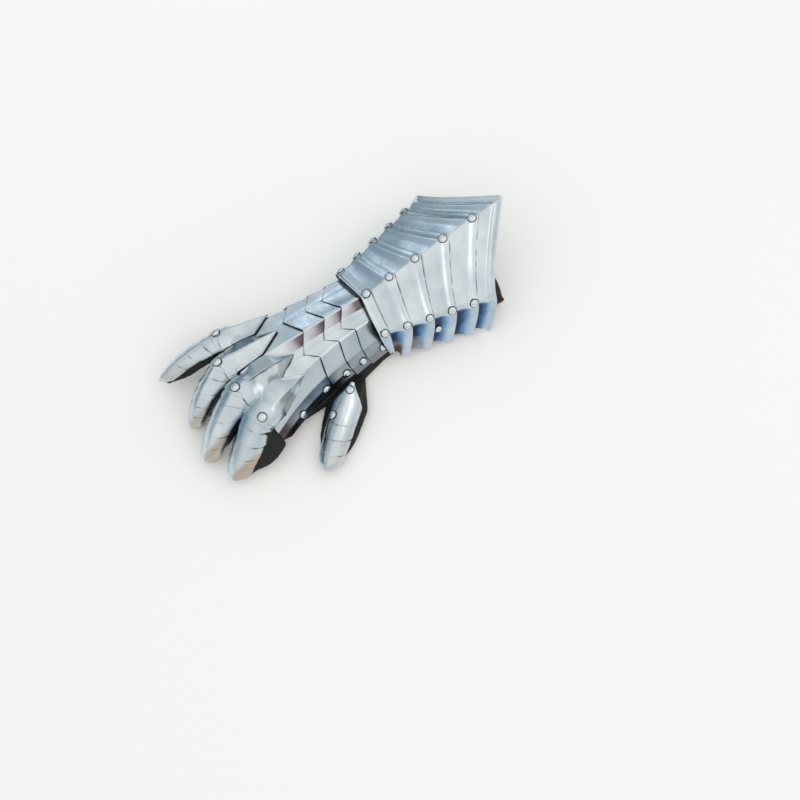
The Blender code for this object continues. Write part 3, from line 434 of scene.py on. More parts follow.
def scattered(tree, points, shape, rotation, scale, material):
    # A copy of the shape on each point, made real and painted.
    smooth = add(tree, "GeometryNodeSetShadeSmooth", links={"Geometry": shape.outputs["Mesh"]})
    links = {"Points": points, "Instance": smooth.outputs["Geometry"], "Rotation": rotation, "Scale": scale}
    copies = add(tree, "GeometryNodeInstanceOnPoints", links=links)
    real = add(tree, "GeometryNodeRealizeInstances", links={"Geometry": copies.outputs["Instances"]})
    links = {"Geometry": real.outputs["Geometry"]}
    return add(tree, "GeometryNodeSetMaterial", {"Material": material}, links).outputs["Geometry"]


def rivetTree(values):
    tree, (points, radius, height, wobble, seed) = nodeTree("dome rivets", values)
    ball = {"Segments": rivet["segments"], "Rings": rivet["rings"], "Radius": 1.0}
    dome = add(tree, "GeometryNodeMeshUVSphere", ball)
    size = add(tree, "ShaderNodeCombineXYZ", links={"X": radius, "Y": radius, "Z": height})
    axis = add(tree, "GeometryNodeInputNamedAttribute", {"data_type": "FLOAT_VECTOR", "Name": "outward"})
    turn = add(tree, "FunctionNodeAlignRotationToVector", {"axis": "Z"}, {"Vector": axis.outputs["Attribute"]})
    low, high = calc(tree, "SUBTRACT", 1.0, wobble), calc(tree, "ADD", 1.0, wobble)
    varied = add(tree, "FunctionNodeRandomValue", {"data_type": "FLOAT"}, {"Min": low, "Max": high, "Seed": seed})
    links = {0: size.outputs[0], "Scale": varied.outputs[1]}
    scale = add(tree, "ShaderNodeVectorMath", {"operation": "SCALE"}, links).outputs["Vector"]
    heads = scattered(tree, points, dome, turn.outputs["Rotation"], scale, rivetMetal)
    # A thin dark disc round each head is painted shadow where it sits on its plate.
    wider = (rivet["ring"], rivet["ring"], rivet["ringHeight"])
    wide = add(tree, "ShaderNodeVectorMath", {"operation": "MULTIPLY", 1: wider}, {0: scale}).outputs["Vector"]
    rings = scattered(tree, points, dome, turn.outputs["Rotation"], wide, rivetShadowPaint)
    both = add(tree, "GeometryNodeJoinGeometry")
    for geometry in (rings, heads):
        tree.links.new(geometry, both.inputs["Geometry"])
    add(tree, "NodeGroupOutput", links={"Geometry": both.outputs["Geometry"]})
    return tree


def makeRivets(name):
    values = {
        "Radius": rivet["radius"],
        "Height": rivet["height"] - rivet["seat"],
        "Wobble": rivet["wobble"],
        "Seed": rivet["seed"],
    }
    source = seatPoints(name, [(seat + axis * rivet["seat"], axis) for seat, axis in rivetSeats], "outward")
    finishPiece(grown(source, rivetTree(values), values, name), ())
    print("rivets:", len(rivetSeats))


# Cuff: six lapping lames

cuff = {
    "length": 109.0 * mm,
    "lames": 6,
    "wristHalfWidth": 37.2 * mm,
    "rimHalfWidth": 64.2 * mm,
    "creaseHeight": 46.0 * mm,
    "wristRise": 11.0 * mm,
    "rimRise": 42.0 * mm,
    "wristLead": 5.0 * mm,
    "rimLead": 49.0 * mm,
    "thumbFlare": 11.8 * mm,
    "pinkyFlare": 5.0 * mm,
    "sweep": 11.0 * mm,
    "wristCut": 8.0 * mm,
    "wristFoot": 9.5 * mm,
    "rimFoot": 3.0 * mm,
    "lapMargin": 4.5 * mm,
    "ribHeight": 1.35 * mm,
    "ribWidth": 3.2 * mm,
    "ribSetback": 7.5 * mm,
    "lip": 4.2 * mm,  # width of the turned edge at the elbow
    "lipHeight": 1.9 * mm,
    "scallop": 0.13,  # how far the foot of a wall is cut up between its teeth
    "hollow": 2.1 * mm,  # how far a wall is hollowed between its steps
    "facetHollow": 0.5 * mm,
    "flare": 1.5 * mm,  # how far the elbow-side edge of a lame's wall stands out again
    "flareWidth": 3.5 * mm,
    "groove": 0.5 * mm,  # depth of the groove beside the turned edge
    "grooveWidth": 1.6 * mm,
    "collar": 1.7 * mm,  # how far the first lame's edge at the wrist turns up, and how wide the turn is
    "collarWidth": 3.6 * mm,
    "firstReach": 0.85,  # how far down the first lame's walls go
    "hammered": 0.25 * mm,
}


def cuffPoint(along, across):
    share = along / cuff["length"]
    side = 1.0 if across >= 0 else -1.0
    halfWidth = mix(cuff["wristHalfWidth"], cuff["rimHalfWidth"], share)
    rise = mix(cuff["wristRise"], cuff["rimRise"], share)
    lead = mix(cuff["wristLead"], cuff["rimLead"], max(share, 0.0) ** 1.5)
    out = abs(across)
    if out <= 1:
        height = cuff["creaseHeight"] + rise * (1 - out)
        return Vector((along + lead * (1 - out) ** 1.25, side * halfWidth * out, height))
    down = out - 1
    foot = mix(cuff["wristFoot"], cuff["rimFoot"], share)
    flare = cuff["pinkyFlare"] if side > 0 else cuff["thumbFlare"]
    sweep = mix(-cuff["wristCut"], cuff["sweep"], min(1.0, max(0.0, share + 0.05) / 0.22))
    return Vector(
        (along - sweep * down**1.5, side * (halfWidth + flare * down**0.8), mix(cuff["creaseHeight"], foot, down))
    )


def cuffSurface(along, across):
    # The cuff's surface with its ridge and folds bent round a small radius instead of a sharp line.
    window = 0.012 if abs(across) < 0.5 else 0.04
    steps = (-1.0, -0.5, 0.0, 0.5, 1.0)
    return sum((cuffPoint(along, across + step * window) for step in steps), Vector()) / len(steps)


def clustered(stops):
    # Places from stop to stop, each stretch in its own number of steps.
    result = [stops[0][0]]
    for (first, _), (last, steps) in zip(stops, stops[1:]):
        result += [mix(first, last, (k + 1) / steps) for k in range(steps)]
    return result


cuffColumns = clustered(
    ((-2.0, 0), (-1.9, 3), (-1.08, 12), (-0.92, 8), (-0.05, 14), (0.05, 8), (0.92, 14), (1.08, 8), (1.9, 12), (2.0, 3))
)


def cuffRow(number):
    return (number - 1) * cuff["length"] / (cuff["lames"] - 1)


def makeCuffLame(number):
    last = number == cuff["lames"]
    margin = cuff["lapMargin"]
    front = cuffRow(max(1, number - 1)) - margin
    rear = cuff["length"] if last else cuffRow(number) + margin
    lapped = 2 * margin / (cuffRow(2) + 2 * margin)
    step = plate["thickness"] + plate["gap"]
    rib = rear - cuff["ribSetback"] * (1.15 if last else 1.0)
    if number == 1:
        front -= 0.5 * mm
    rowCount = 14 if number == 1 else 34
    rows = []
    for r in range(rowCount + 1):
        share = r / rowCount
        place = mix(front, rear, share)
        shown = 1.0 if number == 1 else (place - front - 2 * margin) / (rear - front - 2 * margin)
        inside = min(1.0, max(0.0, shown))
        row = []
        for across in cuffColumns:
            out = abs(across)
            down = max(0.0, out - 1)
            reach = cuff["firstReach"] if number == 1 else 1 - cuff["scallop"] * (1 - inside) ** 1.6
            across = math.copysign(1 + down * reach, across) if down else across
            point = cuffSurface(place, across)
            if number == 1:
                lift = plate["thickness"] + plate["gap"] * 1.6 + share * lapped * step / (1 - lapped)
                lift += cuff["collar"] * soft(1 - (place - front) / cuff["collarWidth"])
            else:
                lift = share * step / (1 - lapped)
                onWall = soft(down / 0.25)
                height = cuff["ribHeight"] * mix(1.0, 0.75, onWall)
                lift += height * bump(place - rib, cuff["ribWidth"])
                if last:
                    lift += cuff["lipHeight"] * soft(1 - (rear - place) / cuff["lip"])
                    lift -= cuff["groove"] * bump(rear - place - cuff["lip"] * 1.1, cuff["grooveWidth"])
                lift -= mix(cuff["facetHollow"], cuff["hollow"], onWall) * math.sin(math.pi * inside**0.7)
                lift += cuff["flare"] * onWall * down * bump(rear - place, cuff["flareWidth"])
                lift += hammered(point, cuff["hammered"])
            # Painted blue reflection on the walls, with painted shade darkest where a lame comes out from under the one
            # before.
            depth = mix(1.0, 0.22, soft(shown / 0.85)) if across < 0 else 0.25
            blue = soft((down - 0.02) / 0.12) * depth
            # Painted brown reflection low on the thumb-side walls of the lames nearest the wrist.
            low = soft((down - 0.45) / 0.4) * soft((3.6 - number) / 1.5) * soft((0.9 - shown) / 0.5)
            brown = low * 0.85 if across < 0 else 0.0
            # A painted shadow line beside each lap, full on the thumb side and weaker on the pinky side.
            past = place - (front + 2 * margin)
            strong = 1.0 if across < 0 else 0.35
            strong *= mix(1.0, soft((1.25 - out) / 0.5), soft((across + 1.0) / 0.05)) if across < 0 else 1.0
            shadowPaint = paintedShadowLine(past, point) * strong if number > 1 else 0.0
            row.append((point, lift, blue, brown, 0.0, shadowPaint))
        rows.append(row)
    lame = plateObject(f"cuffLame{number}", rows)
    finishPiece(lame, (f"cuff_lame_{number}",))
    if not last:
        row = cuffRow(number)
        for across, way in ((0.0, (0, 0, 1)), (1.01, (0, 0.75, 1)), (-1.01, (0, -0.75, 1))):
            seatRivet(lame, cuffPoint(row, across), Vector(way))
        if front < strap["along"] * cuff["length"] < rear - 2 * margin:
            for across in (1.5, -1.5):
                way = Vector((0, math.copysign(1, across), 0.2))
                seatRivet(lame, cuffSection(strap["along"] * cuff["length"], across), way)


def cuffSection(along, across):
    station = along
    for _ in range(4):
        station += along - cuffPoint(station, across).x
    return cuffPoint(station, across)


# Back of the hand: four lames of pointed scales

hand = {
    "length": 140.0 * mm,
    "halfWidth": 60.0 * mm,
    "height": 52.0 * mm,
    "tuck": 6.0 * mm,
    "point": 11.0 * mm,
    "lap": 10.0 * mm,
    "edges": (0.148, 0.282, 0.444, 0.85),
    "spread": 2.4,
    "foldRadius": 1.3 * mm,
    "hollow": 0.35 * mm,
    # Painted reflections and painted shade on the facets between the folds, from the pinky side to the thumb side.
    "paintedBlueReflection": (0.1, 0.0, 0.0, 0.0, 0.0, 0.0, 0.0, 0.05, 0.13, 0.14),
    "paintedBrownReflection": (0.0, 0.0, 0.0, 0.0, 0.62, 0.0, 0.0, 0.0, 0.0, 0.0),
    "shadowPainted": (0.0, 0.0, 0.0, 0.0, 0.0, 0.0, 0.0, 0.14, 0.44, 0.60),
    # Painted brown reflection on the lobes of the last lame.
    "lobeBrown": {8: 0.62, 9: 0.85},
    "rivets": ((-0.03,), (-0.20,), (-0.34,), (-0.51, -0.73)),  # rows of rivets on each lame, as shares of the length
    "hammered": 0.18 * mm,
    "shadowLineWidth": 0.9 * mm,
    # wrist across, knuckle across, wrist height, knuckle height, point, lobe
    "folds": (
        (1.02, 0.86, 0.22, 0.20, 0.0, -0.3),
        (0.97, 0.83, 0.66, 0.54, 0.3, 0.2),
        (0.86, 0.75, 0.935, 0.79, 0.0, 0.0),
        (0.53, 0.47, 1.02, 0.825, 1.0, 0.0),
        (0.08, 0.075, 1.15, 0.875, 0.0, 0.0),
        (-0.16, -0.13, 1.087, 0.832, 0.6, 0.0),
        (-0.34, -0.35, 1.065, 0.815, 1.0, 0.0),
        (-0.53, -0.65, 1.03, 0.79, 0.0, 0.5),
        (-0.90, -0.88, 0.74, 0.53, 0.3, 1.5),
        (-1.06, -0.98, 0.50, 0.38, 0.2, 1.3),
        (-1.21, -1.04, 0.30, 0.25, 0.0, 0.3),
    ),
}


def handPoint(along, fold):
    spread = max(0.0, (hand["tuck"] - along) / (hand["tuck"] + hand["edges"][-1] * hand["length"])) ** hand["spread"]
    across = mix(fold[0] * cuff["wristHalfWidth"], fold[1] * hand["halfWidth"], spread)
    height = mix(fold[2] * cuff["creaseHeight"], fold[3] * hand["height"], spread)
    return Vector((along, across, height))


def roundedLine(points, radius, steps):
    # A folded line with each corner bent round, and for each of its points how far it lies along its facet.
    line, shares = [], []
    count = len(points)
    for k in range(count - 1):
        start, end = points[k], points[k + 1]
        cut = min(0.3, radius / max((end - start).length, 1e-6))
        first, last = (0.0 if k == 0 else cut), (1.0 if k == count - 2 else 1 - cut)
        for j in range(steps + 1):
            line.append(start.lerp(end, mix(first, last, j / steps)))
            shares.append((k, mix(first, last, j / steps)))
        if k < count - 2:
            after = points[k + 2]
            nextCut = min(0.3, radius / max((after - end).length, 1e-6))
            near, far = start.lerp(end, 1 - cut), end.lerp(after, nextCut)
            for t in (0.25, 0.5, 0.75):
                line.append(near * (1 - t) ** 2 + end * (2 * t * (1 - t)) + far * t**2)
                shares.append((k, 1.0))
    return line, shares


def makeHandLame(number):
    last = number == len(hand["edges"])
    front = -hand["edges"][number - 1] * hand["length"]
    rear = hand["tuck"] if number == 1 else -hand["edges"][number - 2] * hand["length"] + hand["lap"]
    lapped = 0.45 if not last else 0.2
    rowCount = 80 if last else 40
    folds = hand["folds"]
    rows = []
    for r in range(rowCount + 1):
        share = r / rowCount
        line = []
        for fold in folds:
            ahead = hand["point"] * (fold[5] if last else fold[4])
            line.append(handPoint(mix(rear, front - ahead, share), fold))
        lobe = soft((share - 0.55) / 0.35) if last else 0.0
        fading = 1 - soft((share - 0.2) / 0.4) if last else mix(1.0, 0.3, soft((share - 0.3) / 0.7))
        row = []
        for point, (k, across) in zip(*roundedLine(line, hand["foldRadius"], 5)):
            lift = share * (plate["thickness"] + plate["gap"]) / (1 - lapped)
            lift -= hand["hollow"] * math.sin(math.pi * across) * soft(share * 4)
            lift += hammered(point, hand["hammered"])
            # Painted brown reflection on one facet and on the lobes, painted shade on the walls, and a painted shadow
            # line beside the lame before.
            brown = max(hand["paintedBrownReflection"][k] * fading, lobe * hand["lobeBrown"].get(k, 0.0))
            pointed = mix(folds[k][4], folds[k + 1][4], across) * hand["point"]
            edge = -hand["edges"][number - 2] * hand["length"] - pointed if number > 1 else 1.0
            facetShade = hand["shadowPainted"][k] * (1 - 0.75 * lobe)
            shadowPaint = max(facetShade, paintedShadowLine(edge - point.x, point, hand["shadowLineWidth"]))
            row.append((point, lift, hand["paintedBlueReflection"][k], brown, 0.0, shadowPaint))
        rows.append(row)
    lame = plateObject(f"handLame{number}", rows)
    finishPiece(lame, (f"hand_lame_{number}",))
    for row in hand["rivets"][number - 1]:
        for low, high, side in ((folds[-1], folds[-2], -1), (folds[0], folds[1], 1)):
            along = row * hand["length"]
            place = handPoint(along, low).lerp(handPoint(along, high), 0.85 if side < 0 else 0.45)
            seatRivet(lame, place, Vector((0, side, 0.45)))


# Fingers and thumb

knuckle = {
    # How far a plate reaches to the thumb side and the pinky side, where its point has opened out and at the knuckle.
    "sides": {
        "index": ((6.5 * mm, 16.5 * mm), (11.5 * mm, 18.6 * mm)),
        "middle": ((14.3 * mm, 12.4 * mm), (17.0 * mm, 12.0 * mm)),
        "ring": ((14.0 * mm, 7.5 * mm), (16.6 * mm, 9.0 * mm)),
        "pinky": ((15.0 * mm, 6.0 * mm), (15.5 * mm, 7.5 * mm)),
    },
    # Share of the way from the point to the knuckle, width, depth, and 0 for a keeled roof up to 1 for a round back.
    "rows": ((0.0, 0.03, 0.02, 0.0), (0.45, 1.0, 0.42, 0.0), (0.78, 1.0, 0.75, 0.4)),
    "opened": 0.45,
    "crown": 2.4 * mm,  # how far the keel bows up over the hand
    # How dark the facet of a plate on the thumb side and on the pinky side is painted, as painted shade.
    "shadowPainted": {"index": (0.5, 0.0), "middle": (0.50, 0.18), "ring": (0.05, 0.36), "pinky": (0.0, 0.10)},
    # Strength of a dark line of painted shade along the keel.
    "keelLine": {"index": 0.0, "middle": 0.8, "ring": 0.3, "pinky": 0.15},
    "overlap": 5.5 * mm,
    "slip": 2.0 * mm,
    "rise": 1.1 * mm,  # edge of a plate over the lame beneath
    "over": 2.2 * mm,  # how much higher its edge on the pinky side lies, over the next plate
    "cover": 1.5 * mm,  # and how far it reaches over that plate
    "hammered": 0.2 * mm,
}


finger = {
    "length": 79.0 * mm,
    "halfWidth": 14.0 * mm,
    "girths": ((0.0, 0.96), (0.25, 1.0), (0.6, 0.93), (1.0, 0.78)),
    "depth": 12.0 * mm,
    "lap": 6.0 * mm,
    "waist": 0.2,
    "keeled": 0.3,
    "paintedBlueReflection": 0.36,
    "straw": {"index": 0.85, "middle": 0.75, "ring": 0.6, "pinky": 0.25},
    "step": 0.9 * mm,  # height of a step from one scale to the next
    "edgeSlip": 4.5 * mm,  # ends of a scale's front edge behind its middle
    "edges": (0.0, 0.20, 0.42, 0.62, 0.79, 1.0),
    "jag": 1.3 * mm,  # roughness of a scale's front edge
    "skew": 3.0 * mm,
    "hammered": 0.12 * mm,
    "hammerPitch": 9 * mm,
    "shadowLineWidth": 0.5 * mm,
    # point along and across, knuckle along, across and height, length, width, heading, slopes, roll, full
    "index": (0.595, -0.525, 0.971, -0.765, 0.925, 0.87, 1.04, 26.0, 8.0, 55.0, -8.0, 1.9),
    "middle": (0.580, -0.160, 1.014, -0.170, 1.01, 1.00, 0.94, 28.0, 8.0, 54.0, 0.0, 0.7),
    "ring": (0.585, 0.315, 1.028, 0.340, 0.98, 0.91, 0.87, 27.0, 8.0, 58.0, 3.0, 0.7),
    "pinky": (0.580, 0.665, 0.943, 0.81, 0.90, 0.96, 0.76, -3.0, 5.0, 44.0, 14.0, 1.0),
}
thumb = {
    "along": 0.345,
    "across": -1.53,
    "height": 31.0 * mm,
    "length": 85.0 * mm,
    "halfWidth": 14.5 * mm,
    "heading": 40.0,
    "slopes": (4.0, 19.0),
    "full": 0.9,
    "sides": (15.0 * mm, 13.0 * mm),
    "edges": (0.0, 0.50, 0.67, 0.84, 1.0),
}
# Half width of the last scale at shares of its length, as shares of the finger's own.
claws = {
    "index": ((0.0, 1.0), (0.5, 1.0), (0.75, 0.88), (0.9, 0.66), (1.0, 0.30)),
    "middle": ((0.0, 1.0), (0.5, 1.0), (0.8, 0.93), (0.93, 0.84), (1.0, 0.72)),
    "ring": ((0.0, 1.0), (0.45, 0.98), (0.75, 0.90), (0.93, 0.80), (1.0, 0.68)),
    "pinky": ((0.0, 1.0), (0.4, 0.96), (0.7, 0.7), (0.9, 0.4), (1.0, 0.16)),
    "thumb": ((0.0, 1.0), (0.4, 1.0), (0.7, 0.82), (0.9, 0.5), (1.0, 0.22)),
}


def fingerSpine(name):
    if name == "thumb":
        start = Vector((-thumb["along"] * hand["length"], thumb["across"] * cuff["wristHalfWidth"], thumb["height"]))
        return {
            "start": start,
            "heading": thumb["heading"],
            "back": thumb["heading"],
            "length": thumb["length"],
            "slopes": thumb["slopes"],
            "halfWidth": thumb["halfWidth"],
            "roll": 0.0,
            "full": thumb["full"],
            "pinkyFull": 1.2,
            "straw": 0.2,
            "sides": thumb["sides"],
            "edges": thumb["edges"],
        }
    pointAlong, pointAcross, along, across, height, length, width, heading, first, final, *turned = finger[name]
    roll, full = turned
    point = Vector((-pointAlong * hand["length"], pointAcross * hand["halfWidth"], 0))
    start = Vector((-along * hand["length"], across * hand["halfWidth"], height * hand["height"]))
    back = math.degrees(math.atan2(point.y - start.y, point.x - start.x))
    return {
        "start": start,
        "heading": heading,
        "back": back,
        "length": length * finger["length"],
        "slopes": (first, final),
        "halfWidth": width * finger["halfWidth"],
        "roll": roll,
        "full": full,
        "pinkyFull": 0.4,  # of the fullness, on the pinky side
        "straw": finger["straw"][name],
        "sides": knuckle["sides"][name][1],
        "edges": finger["edges"],
        "point": point,
    }


def spineFrame(spine, distance):
    # The finger's keel at a distance from its knuckle: the place there and the ways ahead, aside and up.
    first, last = (math.radians(value) for value in spine["slopes"])
    rate = (last - first) / spine["length"]
    slope = first + rate * distance
    level = (math.sin(slope) - math.sin(first)) / rate
    fall = (math.cos(first) - math.cos(slope)) / rate
    angle = math.radians(spine["heading"] if distance >= 0 else spine["back"])
    forward = Vector((-math.cos(angle), -math.sin(angle), 0))
    vertical = Vector((0, 0, 1))
    side = vertical.cross(forward)
    up = forward * math.sin(slope) + vertical * math.cos(slope)
    roll = math.radians(spine["roll"])
    return (
        spine["start"] + forward * level - vertical * fall,
        forward * math.cos(slope) - vertical * math.sin(slope),
        side * math.cos(roll) + up * math.sin(roll),
        up * math.cos(roll) - side * math.sin(roll),
    )


def widthAt(spine, distance):
    girths = finger["girths"]
    if distance < 0:
        return spine["halfWidth"] * girths[0][1] * (1 + finger["waist"] * distance / finger["halfWidth"])
    return spine["halfWidth"] * np.interp(distance / spine["length"], *zip(*girths))


def depthAt(spine, distance):
    return finger["depth"] * widthAt(spine, distance) / finger["halfWidth"]


fingerColumns = clustered(((-1.0, 0), (-0.86, 3), (-0.10, 8), (0.0, 4), (0.10, 4), (0.86, 8), (1.0, 3)))


def roofFall(out):
    rounded = math.sqrt(out * out + 0.03**2) - 0.03
    return rounded * mix(0.875, 1.0, rounded)


def archFall(out):
    # A round back with a soft keel along it.
    return mix(1 - math.sqrt(max(0.0, 1 - min(out, 0.995) ** 2)), roofFall(out), finger["keeled"])


def sidesAt(spine, distance):
    # How far a finger's plates reach to the thumb side and the pinky side of their keel.
    halfWidth = widthAt(spine, distance)
    even = soft(distance / (0.55 * spine["length"]))
    return [mix(side * halfWidth / spine["halfWidth"], halfWidth, even) for side in spine["sides"]]


def crossLine(place, ahead, side, up, reaches, depth, arch, slip=0.0):
    line = []
    toThumb, toPinky = reaches
    for across in fingerColumns:
        out = abs(across)
        reach = toThumb if across >= 0 else toPinky
        # The wider facet of a plate is also the flatter one.
        flat = mix(1.0, min(1.25, (toThumb + toPinky) / (2 * reach)), 0.6)
        down = mix(roofFall(out) * flat, archFall(out) * mix(1.0, flat, 0.5), arch) * depth
        aside = across * reach
        line.append(place + side * aside - up * down - ahead * (slip * out**2))
    return line


def makeScales(name, cadName):
    spine = fingerSpine(name)
    edges = spine["edges"]
    for number, (start, end) in enumerate(zip(edges, edges[1:]), 1):
        last = number == len(edges) - 1
        leaf = name == "thumb" and number == 1
        near = 0.0 if leaf else start * spine["length"] - finger["lap"]
        far = end * spine["length"]
        lapped = finger["lap"] / (far - near)
        rowCount = 34 if last or leaf else 26
        rows = []
        for r in range(rowCount + 1):
            share = r / rowCount
            distance = mix(near, far, share)
            drawn = np.interp(share, *zip(*claws[name])) if last else 1.0
            depth = depthAt(spine, distance) * drawn
            if leaf:
                opened = soft(min(1.0, share / 0.55)) ** 0.8
                drawn, depth = mix(0.14, 1.0, opened), depth * mix(0.1, 1.0, opened)
            reaches = [reach * drawn for reach in sidesAt(spine, distance)]
            place, ahead, side, up = spineFrame(spine, distance)
            slip = 0.0 if last else finger["edgeSlip"] * soft((share - 0.35) / 0.65)
            line = crossLine(place, ahead, side, up, reaches, depth, 1.0, slip)
            if not last:
                # The front edge is cut and filed by hand, no two of them alike.
                cut = soft((share - 0.6) / 0.4)
                skew = finger["skew"] * noise.noise(Vector((number * 3.7, spine["heading"], 0.5)))
                line = [
                    point + ahead * (cut * (skew * across + finger["jag"] * noise.noise(point / (5 * mm))))
                    for point, across in zip(line, fingerColumns)
                ]
            lift = share * finger["step"] / (1 - lapped)
            if last:
                lift *= soft((1 - share) / 0.3)
            tipward = distance / spine["length"] - 0.72
            past = distance - (near + finger["lap"])
            row = []
            for point, across in zip(line, fingerColumns):
                raised = lift * (1 - 0.5 * across * across) + hammered(point, finger["hammered"], finger["hammerPitch"])
                # Painted blue reflection on the side of the little finger, straw towards the tip, and a painted shadow
                # line beside each lap.
                blue = finger["paintedBlueReflection"] * soft((-across - 0.3) / 0.6)
                straw = spine["straw"] * soft((tipward + 0.45 * across) / 0.22)
                shadowPaint = 0.8 * paintedShadowLine(past + finger["edgeSlip"] * across**2, point, finger["shadowLineWidth"])
                row.append((point, raised, blue, 0.0, straw, 0.0 if leaf else shadowPaint))
            rows.append(row)
        up = spineFrame(spine, mix(near, far, 0.5))[3]
        scale = plateObject(f"{name}Scale{number}", rows, up)
        finishPiece(scale, (f"{cadName}_{number}",))
        if leaf:
            for distance, aside in ((8 * mm, 0.0), (34 * mm, -0.62)):
                place, ahead, side, up = spineFrame(spine, distance)
                seatRivet(scale, place + side * (aside * spine["halfWidth"]), Vector((0, 0, 1)))


def lameTop(point):
    # Height of the last hand lame's outer face over a point.
    rear = hand["lap"] - hand["edges"][-2] * hand["length"]
    heights = []
    for fold in hand["folds"]:
        front = -hand["edges"][-1] * hand["length"] - hand["point"] * fold[5]
        share = min(1.0, max(0.0, (rear - point.x) / (rear - front)))
        place = handPoint(mix(rear, front, share), fold)
        heights.append((place.y, place.z + share * (plate["thickness"] + plate["gap"]) / 0.8))
    for (firstY, firstZ), (secondY, secondZ) in zip(heights, heights[1:]):
        if secondY <= point.y <= firstY:
            return mix(firstZ, secondZ, (point.y - firstY) / (secondY - firstY))
    return 0.0


def clearOfLame(point):
    nearby = [lameTop(point + Vector((0, aside * mm, 0))) for aside in (-2.0, 0.0, 2.0)]
    step = 1.1 * (plate["thickness"] + plate["gap"])
    return Vector((point.x, point.y, max(point.z, max(nearby) + step)))


def facetLine(keel, side, reaches, over):
    # Two flat facets that fall from the keel to the lame beneath, their meeting a little rounded.
    toThumb, toPinky = reaches
    edges = []
    for reach, rise in ((-toPinky, knuckle["rise"] + over), (toThumb, knuckle["rise"])):
        spot = keel + side * reach
        edges.append(Vector((spot.x, spot.y, min(keel.z, lameTop(spot) + rise))))
    line = []
    for across in fingerColumns:
        edge = edges[0] if across < 0 else edges[1]
        out = abs(across)
        rounded = math.sqrt(out * out + 0.02**2) - 0.02
        spot = keel.lerp(edge, out)
        line.append(Vector((spot.x, spot.y, mix(keel.z, edge.z, rounded))))
    return line


def makeKnucklePlate(name):
    spine = fingerSpine(name)
    point = clearOfLame(spine["point"])
    start = -finger["lap"] - knuckle["overlap"]
    place, ahead, side, up = spineFrame(spine, start)
    level = (place - point).normalized()
    flat = Vector((0, 0, 1)).cross(level).normalized()
    shares, widths, depths, arches = (list(column) for column in zip(*knuckle["rows"]))
    shares.append(1.0)
    widths.append(1.0)
    depths.append(depthAt(spine, start) / finger["depth"])
    arches.append(1.0)
    opened, grownWide = knuckle["sides"][name]
    length = finger["edges"][1] * spine["length"] + finger["lap"]
    step = finger["step"]
    full = step + (finger["lap"] + knuckle["overlap"]) / length * step / (1 - finger["lap"] / length)
    lines, lifts = [], []
    for r in range(60):
        share = r / 60
        blend = share**3
        wide = max(0.0, (share - knuckle["opened"]) / (1 - knuckle["opened"]))
        width = np.interp(share, shares, widths)
        spot = point.lerp(place, share)
        toThumb, toPinky = (mix(first, last, wide) * width for first, last in zip(opened, grownWide))
        aside, above = flat.lerp(side, blend).normalized(), level.cross(flat).lerp(up, blend).normalized()
        depth, arch = np.interp(share, shares, depths) * finger["depth"], np.interp(share, shares, arches)
        line = crossLine(spot, level, aside, above, (toThumb, toPinky), depth, arch)
        keel = spot + Vector((0, 0, knuckle["crown"] * math.sin(math.pi * share)))
        lapping = 0.0 if name == "pinky" else soft((share - 0.3) / 0.3)
        lying = facetLine(keel, flat, (toThumb, toPinky + knuckle["cover"] * lapping), knuckle["over"] * lapping)
        taken = soft((share - 0.72) / 0.28)
        lines.append([clearOfLame(low.lerp(high, taken)) for low, high in zip(lying, line)])
        lifts.append(full * soft((share - 0.6) / 0.4))
    for r in range(17):
        distance = mix(start, knuckle["overlap"], r / 16)
        slip = knuckle["slip"] * soft(distance / knuckle["overlap"])
        reaches = sidesAt(spine, distance) if distance > 0 else grownWide
        lines.append(crossLine(*spineFrame(spine, distance), reaches, depthAt(spine, distance), 1.0, slip))
        lifts.append(full)
    thumbShade, pinkyShade = knuckle["shadowPainted"][name]
    rows = []
    for number, (line, lift) in enumerate(zip(lines, lifts)):
        passed = number / len(lines)
        fading = 1 - soft((passed - 0.62) / 0.2)
        row = []
        for spot, across in zip(line, fingerColumns):
            # Painted shade on the darker facets and along the keel.
            dark = thumbShade * soft(across / 0.08) * soft(0.75 + 2.2 * noise.noise(spot / (11 * mm)))
            keel = knuckle["keelLine"][name] * bump(across - 0.04, 0.035)
            # The free edges over the hand are painted dark, as painted shadow.
            free = soft((0.62 - passed) / 0.08) * (across == 1.0)
            shadowPaint = min(1.0, (dark + pinkyShade * soft(-across / 0.08) + keel) * fading + free)
            row.append((spot, lift + hammered(spot, knuckle["hammered"]), 0.0, 0.0, 0.0, shadowPaint))
        rows.append(row)
    obj = plateObject(f"{name}KnucklePlate", rows)
    finishPiece(obj, (f"knuckle_plate_{name}",))
    place, ahead, side, up = spineFrame(spine, 0.0)
    seatRivet(obj, place - ahead * (1.5 * mm), up)


# Stitches, set along seams of the leather by geometry nodes

stitch = {"length": 2.2 * mm, "width": 0.8 * mm, "pitch": 3.4 * mm, "rise": 0.1 * mm, "tilt": 0.14, "seed": 3}
stitchSeats = []


